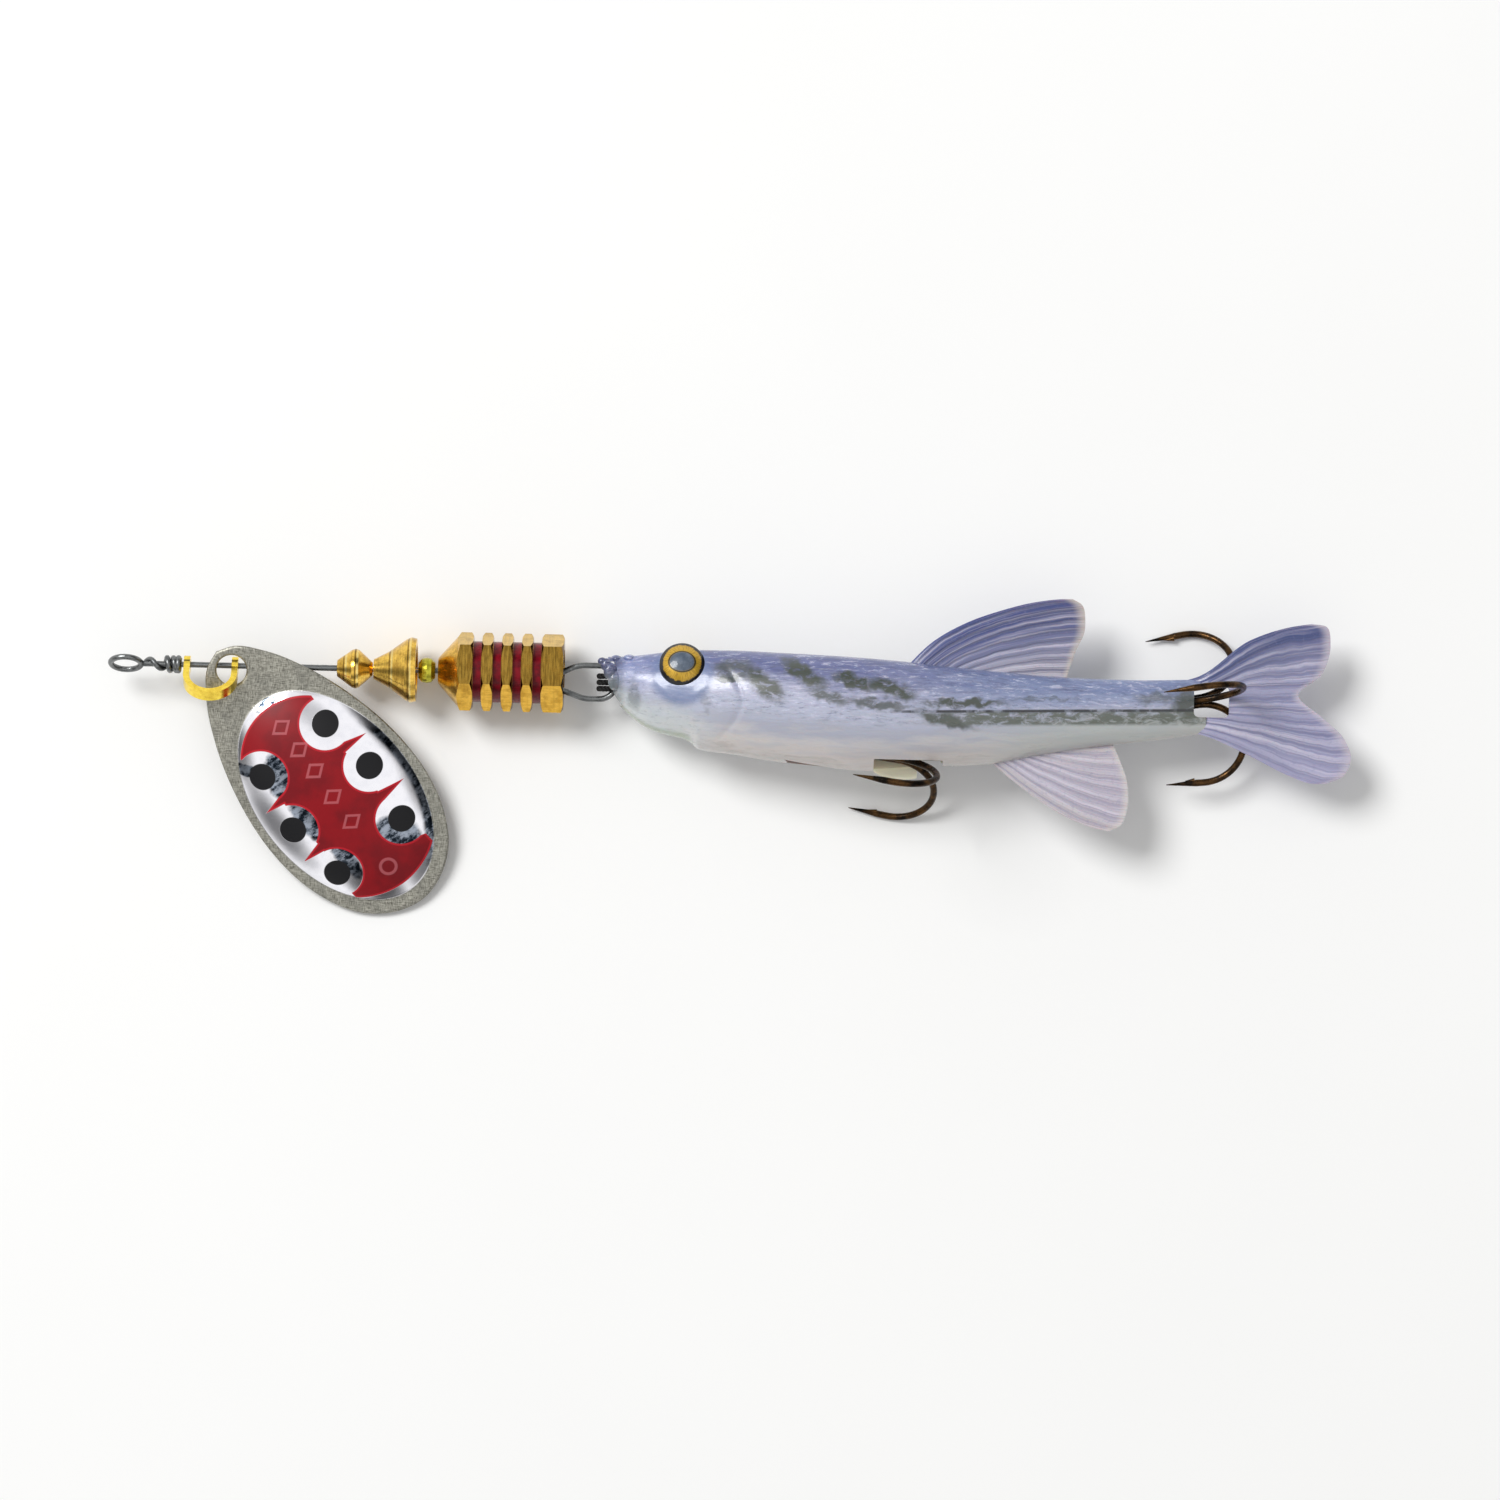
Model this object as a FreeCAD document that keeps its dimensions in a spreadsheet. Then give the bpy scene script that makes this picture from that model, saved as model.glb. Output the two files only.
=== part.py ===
# Inline spinner: a dished blade on a folded clevis, a bead, a bell, a spacer bead and a ringed
# hexagonal weight on one wire shaft, and a soft minnow on a wire harness with two treble hooks.
# Frame: origin in the line eye, +X along the shaft towards the tail, +Y towards the minnow's back,
# +Z up from the surface that the lure lies on. Millimetres and degrees.
import FreeCAD, Part
import math
import os

import Sketcher
from FreeCAD import Placement, Rotation, Vector

X_AXIS, Y_AXIS, Z_AXIS = Vector(1, 0, 0), Vector(0, 1, 0), Vector(0, 0, 1)
NO_MOVE = Placement()

DIMENSIONS = [
    # the shaft wire: line eye, locking wraps and rear loop
    ("wire_radius", 0.28), ("eye_ring_radius", 1.45), ("eye_tilt", 66), ("twist_start", 1.75),
    ("twist_length", 2.2), ("twist_radius", 0.42), ("wrap_radius", 0.6), ("wrap_pitch", 0.6),
    ("wrap_length", 1.3), ("coil_share", 0.96), ("collar_place", 5.05),
    ("loop_centre", 45.5), ("loop_drop", 0.75), ("loop_radius", 1.6), ("loop_lead", 43.4),
    ("loop_tail_end", 39.6), ("loop_tail_drop", 1.3), ("shaft_bend", 41.6),
    ("shaft_bend_radius", 3), ("bore_clearance", 0.06),
    # the clevis: a strip folded into a U, leaning from upright
    ("clevis_middle", 8.2), ("clevis_span", 2.3), ("clevis_strip", 0.6), ("clevis_width", 1.1),
    ("clevis_leg", 1.7), ("clevis_ear", 0.85), ("clevis_lean", 45),
    # the blade: outline, hole, dome and how it lies
    ("blade_tail", 28.8), ("blade_nose", 2.3), ("blade_half_width", 8.5), ("blade_thick", 0.5),
    ("hole_radius", 1.45), ("hole_x", 10.19), ("hole_y", -0.42), ("blade_turn", -49.4),
    ("blade_pitch", 9.5), ("blade_height", 0.7), ("dome_middle", 15.7), ("dome_length", 11.7),
    ("dome_width", 7.6), ("dome_height", 2.2), ("dome_sink", 3.4),
    # the turned pieces on the shaft
    ("bead_start", 20.3), ("bead_face", 0.8), ("bead_middle", 1.75), ("bead_radius", 1.92),
    ("bead_neck", 0.62), ("bead_length", 3.4), ("bead_crown", 0.35), ("bead_round", 0.12),
    ("bell_start", 23.8), ("bell_neck", 0.95), ("bell_radius", 3.15), ("bell_length", 4.1),
    ("bell_waist_place", 1.5), ("bell_waist", 1.75), ("bell_lip", 0.55), ("bell_hollow", 0.9),
    ("bell_slope", 0.5), ("bell_rim", 0.7),
    ("spacer_start", 28.1), ("spacer_radius", 1.22), ("spacer_length", 1.6),
    # the hexagonal weight
    ("weight_start", 30.0), ("weight_nose_radius", 1.25), ("weight_nose_length", 1.92),
    ("weight_length", 12.06), ("hex_circumradius", 3.84), ("hex_roll", 18.7),
    ("groove_start", 3.35), ("groove_pitch", 1.91), ("groove_width", 0.85), ("groove_radius", 2.92),
    ("land_bevel", 0.22), ("weight_hollow_radius", 2.35), ("weight_hollow_depth", 4.4),
    # the cord lashing on the rear loop
    ("lash_front", 45.45), ("lash_rear", 48.35), ("lash_bend", 0.61), ("cord_radius", 0.28),
    ("lash_pitch", 0.6),
    # the wire harness inside the minnow
    ("harness_radius", 0.25), ("bail_bar", 47.75), ("bail_half_width", 1.3), ("bail_shoulder", 49.0),
    ("bail_rear", 50.6), ("bail_bend", 0.4), ("front_bend", 6), ("rear_bend", 12),
    ("ring_radius", 1.08), ("crimp_radius", 0.62), ("crimp_length", 2.2),
    # the treble hooks
    ("hook_wire", 0.33), ("hook_spread", 8.4), ("hook_bundle", 0.39), ("point_length", 2.9),
    ("point_run", 3.6), ("point_tip", 0.04), ("barb_radius", 0.25), ("barb_length", 0.9),
    ("barb_drop", 0.256), ("barb_start", 0.15), ("hook_closing", 4), ("third_gap", 0.45),
    # the minnow
    ("fin_thick", 0.5), ("eye_radius", 2.15), ("eye_dome", 3.0), ("eye_seat", 0.8),
    ("eye_x", 53.4), ("eye_y", 0.35), ("eye_z", 1.25), ("eye_depth", 1.55), ("eye_tilt_up", 20),
    ("mouth_rear", 49.5), ("mouth_front", 47.2), ("mouth_top", 1.4), ("mouth_bottom", -2.95),
    ("mouth_half_depth", 1.2),
]

# Stations along the minnow: place on X, back, belly, half thickness and height of its middle.
MINNOW_STATIONS = [
    (45.5, 1.72, 0.45, 0.55, 0.00), (46.6, 1.80, -1.90, 1.35, 0.05), (48.2, 1.90, -3.60, 2.00, 0.30),
    (50.4, 2.20, -5.10, 2.60, 0.70), (53.4, 2.50, -6.10, 3.05, 1.25), (57.5, 2.65, -7.35, 3.35, 1.95),
    (63.0, 2.50, -8.00, 3.55, 2.70), (69.5, 2.25, -8.70, 3.60, 3.30), (76.0, 1.80, -8.50, 3.45, 3.40),
    (83.0, 1.25, -7.65, 2.95, 3.03), (90.0, 0.80, -6.35, 2.30, 2.67), (97.0, 0.70, -5.25, 1.75, 2.31),
    (103.5, 0.90, -4.35, 1.25, 1.97),
]
FIN_PLANE_X, FIN_PLANE_Z, FIN_PLANE_SLOPE = 74.0, 3.5, -2.96     # the mid plane of the rear half

# Fin outlines on that plane, in X and Y: corner points, round stretches given by a mid point.
DORSAL_FIN = [((75.0, 0.4),), ((75.0, 1.8),), ((80.4, 5.85), (90.4, 8.35)), ((91.6, 7.9), (91.85, 5.6)),
              ((90.1, 2.4),), ((90.0, -0.4),)]
ANAL_FIN = [((83.0, -6.2),), ((83.0, -7.7),), ((87.6, -11.1), (93.8, -13.65)),
            ((95.5, -13.6), (96.3, -11.9)), ((96.3, -9.2), (95.3, -6.6),), ((94.3, -4.2),)]
TAIL_FIN = [((100.5, 0.3),), ((102.2, 0.85),), ((107.8, 4.7), (113.8, 6.5)), ((115.2, 6.4), (115.4, 5.4)),
            ((115.0, 1.6), (112.4, -0.35)), ((115.2, -2.5), (117.4, -5.0)),
            ((117.5, -7.6), (114.6, -8.8)), ((109.5, -7.7), (103.3, -4.3)), ((100.5, -3.6),)]

GROOVES = 4
BELLY_SHANK_END, BELLY_EYE = Vector(74.2, -7.2, 2.82), Vector(59.05, -5.07, 2.5)
BELLY_PRONGS = (133.3, -106.7, 13.3)
TAIL_SHANK_END, TAIL_EYE = Vector(102.9, -1.15, 2.0), Vector(87.85, -3.5, 2.45)
TAIL_PRONGS = (39.0, 159.0, -81.0)

doc = FreeCAD.newDocument("InlineSpinner")
sheet = doc.addObject("Spreadsheet::Sheet", "Sizes")
for row, (alias, value) in enumerate(DIMENSIONS, 1):
    sheet.set("A%d" % row, alias)
    sheet.set("B%d" % row, str(value))
    sheet.setAlias("B%d" % row, alias)
doc.recompute()

sub_parts = []


def size(alias):
    """The number in a sheet cell."""
    return float(getattr(sheet, alias))


def cell(formula):
    """An expression in which each word that is an alias reads the sheet."""
    words = formula.replace("(", " ( ").replace(")", " ) ").split()
    aliases = {alias for alias, _ in DIMENSIONS}
    return " ".join("Sizes." + word if word in aliases else word for word in words)


def evaluate(formula):
    """The number that a formula of sheet cells gives now."""
    return float(sheet.evalExpression(formula))


def primitive(kind, name, sizes, placement=NO_MOVE):
    """A Part primitive whose sizes follow the sheet."""
    feature = doc.addObject("Part::" + kind, name)
    for prop, formula in sizes.items():
        feature.setExpression(prop, cell(str(formula)))
    feature.Placement = placement
    return feature


def join(name, pieces):
    feature = doc.addObject("Part::MultiFuse", name)
    feature.Shapes = pieces
    return feature


def cut(name, base, tool):
    feature = doc.addObject("Part::Cut", name)
    feature.Base = base
    feature.Tool = tool
    return feature


def one_by_one(name, kind, base, tools):
    """A chain of booleans of one kind, each on the last one's result."""
    for n, tool in enumerate(tools):
        step = doc.addObject("Part::" + kind, "%s%d" % (name, n))
        step.Base = base
        step.Tool = tool
        base = step
    return base


def common(name, first, second):
    feature = doc.addObject("Part::MultiCommon", name)
    feature.Shapes = [first, second]
    return feature


def finish(feature, label):
    """Marks a feature as a sub-part: its label is its node's name."""
    feature.Label = label
    sub_parts.append(feature)
    return feature


def along(start, direction):
    """A placement at start whose own Z runs along direction."""
    return Placement(start, Rotation(Z_AXIS, direction))


def on_axis(x):
    """A placement on the shaft whose own Z runs along +X."""
    return along(Vector(x, 0, 0), X_AXIS)


def rod(name, start, end, radius):
    """A round wire from one point to another, its radius read from the sheet."""
    feature = primitive("Cylinder", name, {"Radius": radius}, along(start, end - start))
    feature.Height = (end - start).Length
    return feature


def rounded_path(points, bend):
    """Straight runs through the points, joined by tangent arcs of the bend radius where they fit."""
    edges = []
    here = points[0]
    for before, corner, after in zip(points, points[1:], points[2:]):
        arriving, leaving = (corner - before).normalize(), (after - corner).normalize()
        half_turn = arriving.getAngle(leaving) / 2
        longest = 0.45 * min((corner - before).Length, (after - corner).Length)
        trim = min(bend * math.tan(half_turn), longest)
        inset = trim * (1 / math.sin(half_turn) - 1 / math.tan(half_turn))
        middle = corner + (leaving - arriving).normalize() * inset
        start, end = corner - arriving * trim, corner + leaving * trim
        edges += [Part.LineSegment(here, start).toShape(), Part.Arc(start, middle, end).toShape()]
        here = end
    edges.append(Part.LineSegment(here, points[-1]).toShape())
    return Part.Wire(edges)


def bent_wire(name, points, radius, bend):
    """One round wire swept along a rounded path: a solid with no seams."""
    path = rounded_path(points, bend)
    section = Part.Wire(Part.Circle(points[0], points[1] - points[0], radius).toShape())
    feature = doc.addObject("Part::Feature", name)
    feature.Shape = path.makePipeShell([section], True, False)
    return feature


def origin_plane(body, role):
    return next(plane for plane in body.Origin.OriginFeatures if plane.Role == role)


def turned(name, outline):
    """A PartDesign body turned about the shaft: outline is a loop of (x, radius) formulas."""
    body = doc.addObject("PartDesign::Body", name)
    sketch = body.newObject("Sketcher::SketchObject", name + "_profile")
    sketch.AttachmentSupport = [(origin_plane(body, "XY_Plane"), "")]
    sketch.MapMode = "FlatFace"
    count = len(outline)
    for n in range(count):
        start, end = outline[n], outline[(n + 1) % count]
        sketch.addGeometry(Part.LineSegment(*[Vector(evaluate(x), evaluate(r), 0) for x, r in (start, end)]))
    for n in range(count):
        sketch.addConstraint(Sketcher.Constraint("Coincident", n, 2, (n + 1) % count, 1))
    for n, (x, r) in enumerate(outline):
        for kind, formula in (("DistanceX", x), ("DistanceY", r)):
            number = sketch.addConstraint(Sketcher.Constraint(kind, -1, 1, n, 1, evaluate(formula)))
            sketch.setExpression("Constraints[%d]" % number, cell(formula))
    revolution = body.newObject("PartDesign::Revolution", name + "_turned")
    revolution.Profile = sketch
    revolution.ReferenceAxis = (sketch, ["H_Axis"])
    revolution.Angle = 360
    return body


def outline_face(name, outline, start_z, thickness):
    """A flat plate whose outline has corner points, and arcs through the points given in pairs."""
    edges = []
    here = Vector(*outline[-1][-1], 0)
    for stretch in outline:
        points = [Vector(x, y, 0) for x, y in stretch]
        if len(points) == 1:
            edges.append(Part.LineSegment(here, points[0]).toShape())
        else:
            edges.append(Part.Arc(here, *points).toShape())
        here = points[-1]
    plate = doc.addObject("Part::Feature", name)
    plate.Shape = Part.Face(Part.Wire(edges)).extrude(Vector(0, 0, thickness))
    plate.Placement = Placement(Vector(0, 0, start_z), Rotation())
    return plate


# --- shaft wire -----------------------------------------------------------------------------------
def build_shaft():
    """Line eye, twist, wraps, straight shaft and the open rear loop, all of one wire."""
    eye = [primitive("Torus", "line_eye_half%d" % (n + 1),
                     {"Radius1": "eye_ring_radius", "Radius2": "wire_radius", "Angle3": "180"},
                     Placement(Vector(), Rotation(X_AXIS, size("eye_tilt")).multiply(Rotation(Z_AXIS, end))))
           for n, end in enumerate((90, -90))]
    top, bottom = size("loop_radius") - size("loop_drop"), -size("loop_radius") - size("loop_drop")
    lead, centre, tail = size("loop_lead"), size("loop_centre"), -size("loop_tail_drop")
    upper = bent_wire("shaft_run", [Vector(size("eye_ring_radius"), 0, 0), Vector(size("shaft_bend"), 0, 0),
                                    Vector(lead, top, 0), Vector(centre, top, 0)],
                       size("wire_radius"), size("shaft_bend_radius"))
    lower = bent_wire("loop_tail", [Vector(centre, bottom, 0), Vector(lead + 0.6, bottom, 0),
                                    Vector(size("shaft_bend") - 0.2, tail - 0.1, 0),
                                    Vector(size("loop_tail_end"), tail, 0)],
                       size("wire_radius"), size("shaft_bend_radius"))
    arc = primitive("Torus", "rear_loop_end",
                    {"Radius1": "loop_radius", "Radius2": "wire_radius", "Angle3": "180"},
                    Placement(Vector(centre, -size("loop_drop"), 0), Rotation(Z_AXIS, -90)))
    wraps = [coil("twist", "twist_start", "twist_radius", "twist_length", "twist_length"),
             coil("wraps", "twist_start + twist_length - 0.15", "wrap_radius", "wrap_pitch", "wrap_length")]
    collar = primitive("Torus", "wrap_collar", {"Radius1": "wrap_radius", "Radius2": "wire_radius"},
                       on_axis(size("collar_place")))
    finish(one_by_one("shaft", "Fuse", upper, eye + [arc, lower, collar] + wraps), "shaft_wire")


def coil(name, start, radius, pitch, length):
    """Wire wound round the shaft from start on the shaft."""
    helix = primitive("Helix", name + "_line", {"Radius": radius, "Pitch": pitch, "Height": length},
                      on_axis(evaluate(start)))
    profile = primitive("Circle", name + "_section", {"Radius": "wire_radius * coil_share"})
    begin = helix.Placement.multVec(Vector(size(radius), 0, 0))
    tangent = helix.Placement.Rotation.multVec(Vector(0, 2 * math.pi * size(radius), size(pitch)))
    profile.Placement = along(begin, tangent)
    sweep = doc.addObject("Part::Sweep", name)
    sweep.Sections = [profile]
    sweep.Spine = (helix, ["Edge1"])
    sweep.Solid = True
    sweep.Frenet = True
    return sweep


# --- clevis and blade -----------------------------------------------------------------------------
def build_clevis():
    """A strip folded into a U: two eared legs drilled for the shaft and a round bow."""
    frame = Placement(Vector(size("clevis_middle"), 0, 0), Rotation(X_AXIS, size("clevis_lean")))
    span, leg, half_width = size("clevis_span"), size("clevis_leg"), size("clevis_width") / 2
    bow_place = frame.multiply(along(Vector(0, half_width, leg), -Y_AXIS))
    outer = primitive("Cylinder", "bow_outer", {"Radius": "clevis_span + clevis_strip / 2",
                                                "Height": "clevis_width"}, bow_place)
    inner = primitive("Cylinder", "bow_inner", {"Radius": "clevis_span - clevis_strip / 2",
                                                "Height": "clevis_width"}, bow_place)
    corner = Vector(-span * 1.5, -half_width * 4, leg - span * 3)
    below = primitive("Box", "bow_below", {"Length": "clevis_span * 3", "Width": "clevis_width * 4",
                                           "Height": "clevis_span * 3"},
                      frame.multiply(Placement(corner, Rotation())))
    bow = cut("bow", cut("bow_ring", outer, inner), below)
    legs = []
    for name, side in (("front", -1), ("rear", 1)):
        foot = Vector(side * span - size("clevis_strip") / 2, 0, 0)
        legs.append(primitive("Box", name + "_leg", {"Length": "clevis_strip", "Width": "clevis_width",
                                                     "Height": "clevis_leg"},
                              frame.multiply(Placement(foot - Y_AXIS * half_width, Rotation()))))
        legs.append(primitive("Cylinder", name + "_ear", {"Radius": "clevis_ear", "Height": "clevis_strip"},
                              frame.multiply(along(foot, X_AXIS))))
    strip = join("strip", [bow] + legs)
    holes = primitive("Cylinder", "clevis_holes", {"Radius": "wire_radius + bore_clearance",
                                                   "Height": "clevis_span * 4"},
                      on_axis(size("clevis_middle") - span * 2))
    finish(cut("clevis_drilled", strip, holes), "clevis")


def blade_placement():
    """The blade's own frame: its hole at the origin and its length along +X."""
    lie = Placement(Vector(0, 0, size("blade_height")), Rotation(X_AXIS, size("blade_pitch")))
    turn = Placement(Vector(size("hole_x"), size("hole_y"), 0), Rotation(Z_AXIS, size("blade_turn")))
    return lie.multiply(turn)


def blade_outline(half_width, nose, tail):
    """A closed teardrop curve: narrow and round at the hole, widest two thirds along."""
    shape = [(-nose, 0), (-0.72 * nose, 0.19), (0.6, 0.43), (4.6, 0.685), (9.9, 0.89), (15.6, 0.985),
             (19.8, 0.955), (23.4, 0.83), (26.3, 0.62), (28.1, 0.33), (tail, 0)]
    upper = [Vector(x, w * half_width, 0) for x, w in shape]
    lower = [Vector(x, -w * half_width, 0) for x, w in reversed(shape[1:-1])]
    curve = Part.BSplineCurve()
    curve.interpolate(Points=upper + lower, PeriodicFlag=True)
    return Part.Wire(curve.toShape())


def build_blade():
    """A rim with a hole, domed in the middle, stamped from one thickness of sheet."""
    thick = size("blade_thick")
    rim = doc.addObject("Part::Feature", "blade_plate")
    outline = blade_outline(size("blade_half_width"), size("blade_nose"), size("blade_tail"))
    rim.Shape = Part.Face(outline).extrude(Vector(0, 0, thick))
    rim.Placement = blade_placement().multiply(Placement(Vector(0, 0, -thick / 2), Rotation()))
    # a tall dome on an oval: an ellipsoid sunk so that only its cap stands above the rim
    sink = size("dome_sink")
    dome_at = blade_placement().multiply(Placement(Vector(size("dome_middle"), 0, -sink), Rotation()))
    spread = 1 / math.sqrt(1 - (sink / (sink + size("dome_height"))) ** 2)
    long, wide = "dome_length * %.4f" % spread, "dome_width * %.4f" % spread
    outer = primitive("Ellipsoid", "dome_outside", {"Radius1": "dome_sink + dome_height + blade_thick / 2",
                                                    "Radius2": long, "Radius3": wide}, dome_at)
    inner = primitive("Ellipsoid", "dome_inside", {"Radius1": "dome_sink + dome_height - blade_thick / 2",
                                                   "Radius2": long + " - blade_thick",
                                                   "Radius3": wide + " - blade_thick"}, dome_at)
    above = primitive("Box", "above_rim", {"Length": "60", "Width": "60", "Height": "10"},
                      blade_placement().multiply(Placement(Vector(-20, -30, -thick / 2), Rotation())))
    cap = common("dome_cap", cut("dome_shell", outer, inner), above)
    pressed = cut("rim_opened", rim, inner)
    hole = primitive("Cylinder", "blade_hole", {"Radius": "hole_radius", "Height": "4"},
                     blade_placement().multiply(Placement(Vector(0, 0, -2), Rotation())))
    finish(cut("blade_drilled", join("blade_pressed", [pressed, cap]), hole), "blade")


# --- turned pieces on the shaft -------------------------------------------------------------------
def build_turned_pieces():
    """Front bead, bell and spacer bead, each drilled to run freely on the shaft."""
    bore = "wire_radius + bore_clearance"
    start, middle, end = "bead_start", "bead_start + bead_middle", "bead_start + bead_length"
    finish(turned("front_bead_body", [
        (start, bore), (start, "bead_face"), (middle + " - bead_crown", "bead_radius - bead_round"),
        (middle, "bead_radius"), (middle + " + bead_crown", "bead_radius - bead_round"),
        (end, "bead_neck"), (end, bore)]), "front_bead")
    start, end = "bell_start", "bell_start + bell_length"
    finish(turned("bell_body", [
        (start, bore), (start, "bell_neck"), (start + " + bell_waist_place", "bell_waist"),
        (end + " - bell_lip - bell_slope", "bell_radius - bell_slope / 2"),
        (end + " - bell_lip", "bell_radius"), (end, "bell_radius - bead_round"),
        (end, "bell_radius - bell_rim"), (end + " - bell_hollow", "bell_waist"),
        (end + " - bell_hollow", bore)]), "bell")
    start, end = "spacer_start", "spacer_start + spacer_length"
    finish(turned("spacer_body", [
        (start, bore), (start, "spacer_radius * 0.6"),
        (start + " + spacer_length * 0.22", "spacer_radius * 0.93"),
        (start + " + spacer_length * 0.5", "spacer_radius"),
        (start + " + spacer_length * 0.78", "spacer_radius * 0.93"),
        (end, "spacer_radius * 0.6"), (end, bore)]), "spacer_bead")


def build_weight():
    """The hexagonal weight: bevelled lands, four round grooves, a cone nose and a hollow tail."""
    bore = "wire_radius + bore_clearance"
    end = "weight_start + weight_length"
    outline = [("weight_start", bore), ("weight_start", "weight_nose_radius"),
               ("weight_start + weight_nose_length", "hex_circumradius - land_bevel * 2"),
               ("weight_start + weight_nose_length + land_bevel", "hex_circumradius")]
    for n in range(GROOVES):
        here = "weight_start + groove_start + groove_pitch * %d" % n
        outline += [(here + " - land_bevel", "hex_circumradius"), (here, "hex_circumradius - land_bevel * 2"),
                    (here, "groove_radius"), (here + " + groove_width", "groove_radius"),
                    (here + " + groove_width", "hex_circumradius - land_bevel * 2"),
                    (here + " + groove_width + land_bevel", "hex_circumradius")]
    outline += [(end + " - land_bevel", "hex_circumradius"), (end, "hex_circumradius - land_bevel * 2"),
                (end, "weight_hollow_radius"), (end + " - weight_hollow_depth", "weight_hollow_radius"),
                (end + " - weight_hollow_depth", bore)]
    roll = Rotation(X_AXIS, size("hex_roll")).multiply(Rotation(Z_AXIS, X_AXIS))
    hexagon = primitive("Prism", "hex_bar", {"Circumradius": "hex_circumradius", "Height": "weight_length"},
                        Placement(Vector(size("weight_start"), 0, 0), roll))
    hexagon.Polygon = 6
    finish(common("hex_turned", hexagon, turned("weight_profile", outline)), "hex_weight")


# --- lashing and harness --------------------------------------------------------------------------
def build_lashing():
    """Three turns of cord round the rear loop and the harness's bail."""
    turns = []
    for n in (-1, 0, 1):
        y = -size("loop_drop") + n * size("lash_pitch")
        for end, spin in (("lash_front", 90), ("lash_rear", -90)):
            inset = size("lash_bend") if end == "lash_front" else -size("lash_bend")
            place = Placement(Vector(size(end) + inset, y, 0),
                              Rotation(X_AXIS, 90).multiply(Rotation(Z_AXIS, spin)))
            bend = {"Radius1": "lash_bend", "Radius2": "cord_radius", "Angle3": "180"}
            turns.append(primitive("Torus", "%s_turn%d" % (end, n + 1), bend, place))
        for side in (-1, 1):
            z = side * size("lash_bend")
            start = Vector(size("lash_front") + size("lash_bend"), y, z)
            finish_point = Vector(size("lash_rear") - size("lash_bend"), y, z)
            turns.append(rod("lash_side%d_%d" % (side + 1, n + 1), start, finish_point, "cord_radius"))
    finish(join("lashing", turns), "cord_lashing")


def hook_frame(shank_end, eye, angle):
    """The prong's own frame: X along the shank towards the bend, Z out to the prong."""
    run = (shank_end - eye).normalize()
    side = Z_AXIS.cross(run).normalize()
    up = run.cross(side)
    turn = math.radians(angle)
    out = side * math.cos(turn) - up * math.sin(turn)
    across = out.cross(run)
    return Placement(shank_end, Rotation(run, across, out, "XYZ"))


def build_prong(name, shank_end, eye, angle, gap="ring_radius"):
    """One hook wire: shank, round bend, and a barbed point that comes back along the shank.

    The shank starts gap short of the middle of the eye."""
    frame = hook_frame(shank_end, eye, angle)
    near, far = size("hook_bundle"), size("hook_spread")
    bend_radius = (far - near) / 2
    length = (shank_end - eye).Length - evaluate(gap)
    at = frame.multVec
    centre = Vector(0, 0, near + bend_radius)
    shank = rod(name + "_shank", at(Vector(-length, 0, near)), at(Vector(0, 0, near)), "hook_wire")
    bend = primitive("Torus", name + "_bend",
                     {"Radius1": "(hook_spread - hook_bundle) / 2", "Radius2": "hook_wire",
                      "Angle3": "180 + hook_closing"},
                     frame.multiply(Placement(centre, Rotation(X_AXIS, 90).multiply(Rotation(Z_AXIS, -90)))))
    closing = math.radians(size("hook_closing"))
    back = Vector(-math.cos(closing), 0, -math.sin(closing))
    bend_end = centre + Vector(-math.sin(closing), 0, math.cos(closing)) * bend_radius
    base = bend_end + back * (size("point_run") - size("point_length"))
    run = rod(name + "_run", at(bend_end), at(base), "hook_wire")
    aim = frame.Rotation.multVec(back)
    point = primitive("Cone", name + "_point", {"Radius1": "hook_wire", "Radius2": "point_tip",
                                               "Height": "point_length"}, along(at(base), aim))
    foot = base - Z_AXIS * size("barb_drop") + back * size("barb_start")
    barb = primitive("Cone", name + "_barb", {"Radius1": "barb_radius", "Radius2": "point_tip",
                                             "Height": "barb_length"}, along(at(foot), aim))
    return [shank, bend, run, point, barb]


def build_treble(name, shank_end, eye, prongs, swing_axis):
    """A treble: one wire bent into an eye and two prongs, and a third prong brazed to its shank."""
    ring = primitive("Torus", name + "_eye", {"Radius1": "ring_radius", "Radius2": "hook_wire"},
                     along(eye, swing_axis))
    double = [ring]
    for n, angle in enumerate(prongs[:2]):
        double += build_prong("%s_double%d" % (name, n), shank_end, eye, angle)
    finish(join(name + "_pair", double), name + "_double")
    single = build_prong(name + "_third", shank_end, eye, prongs[2], "ring_radius + hook_wire + third_gap")
    finish(join(name + "_one", single), name + "_single")


def belly_swing_axis():
    """Square to the plane that holds the belly hook's shank and its hidden prong."""
    frame = hook_frame(BELLY_SHANK_END, BELLY_EYE, BELLY_PRONGS[2])
    return frame.Rotation.multVec(Y_AXIS)


def harness_ring(name, eye, shank_end, swing_axis):
    """The harness's ring, linked through a hook's eye just ahead of it."""
    run = (shank_end - eye).normalize()
    centre = eye - run * size("ring_radius")
    ring = primitive("Torus", name, {"Radius1": "ring_radius", "Radius2": "harness_radius"},
                     along(centre, run.cross(swing_axis)))
    return ring, centre - run * size("ring_radius")


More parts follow.
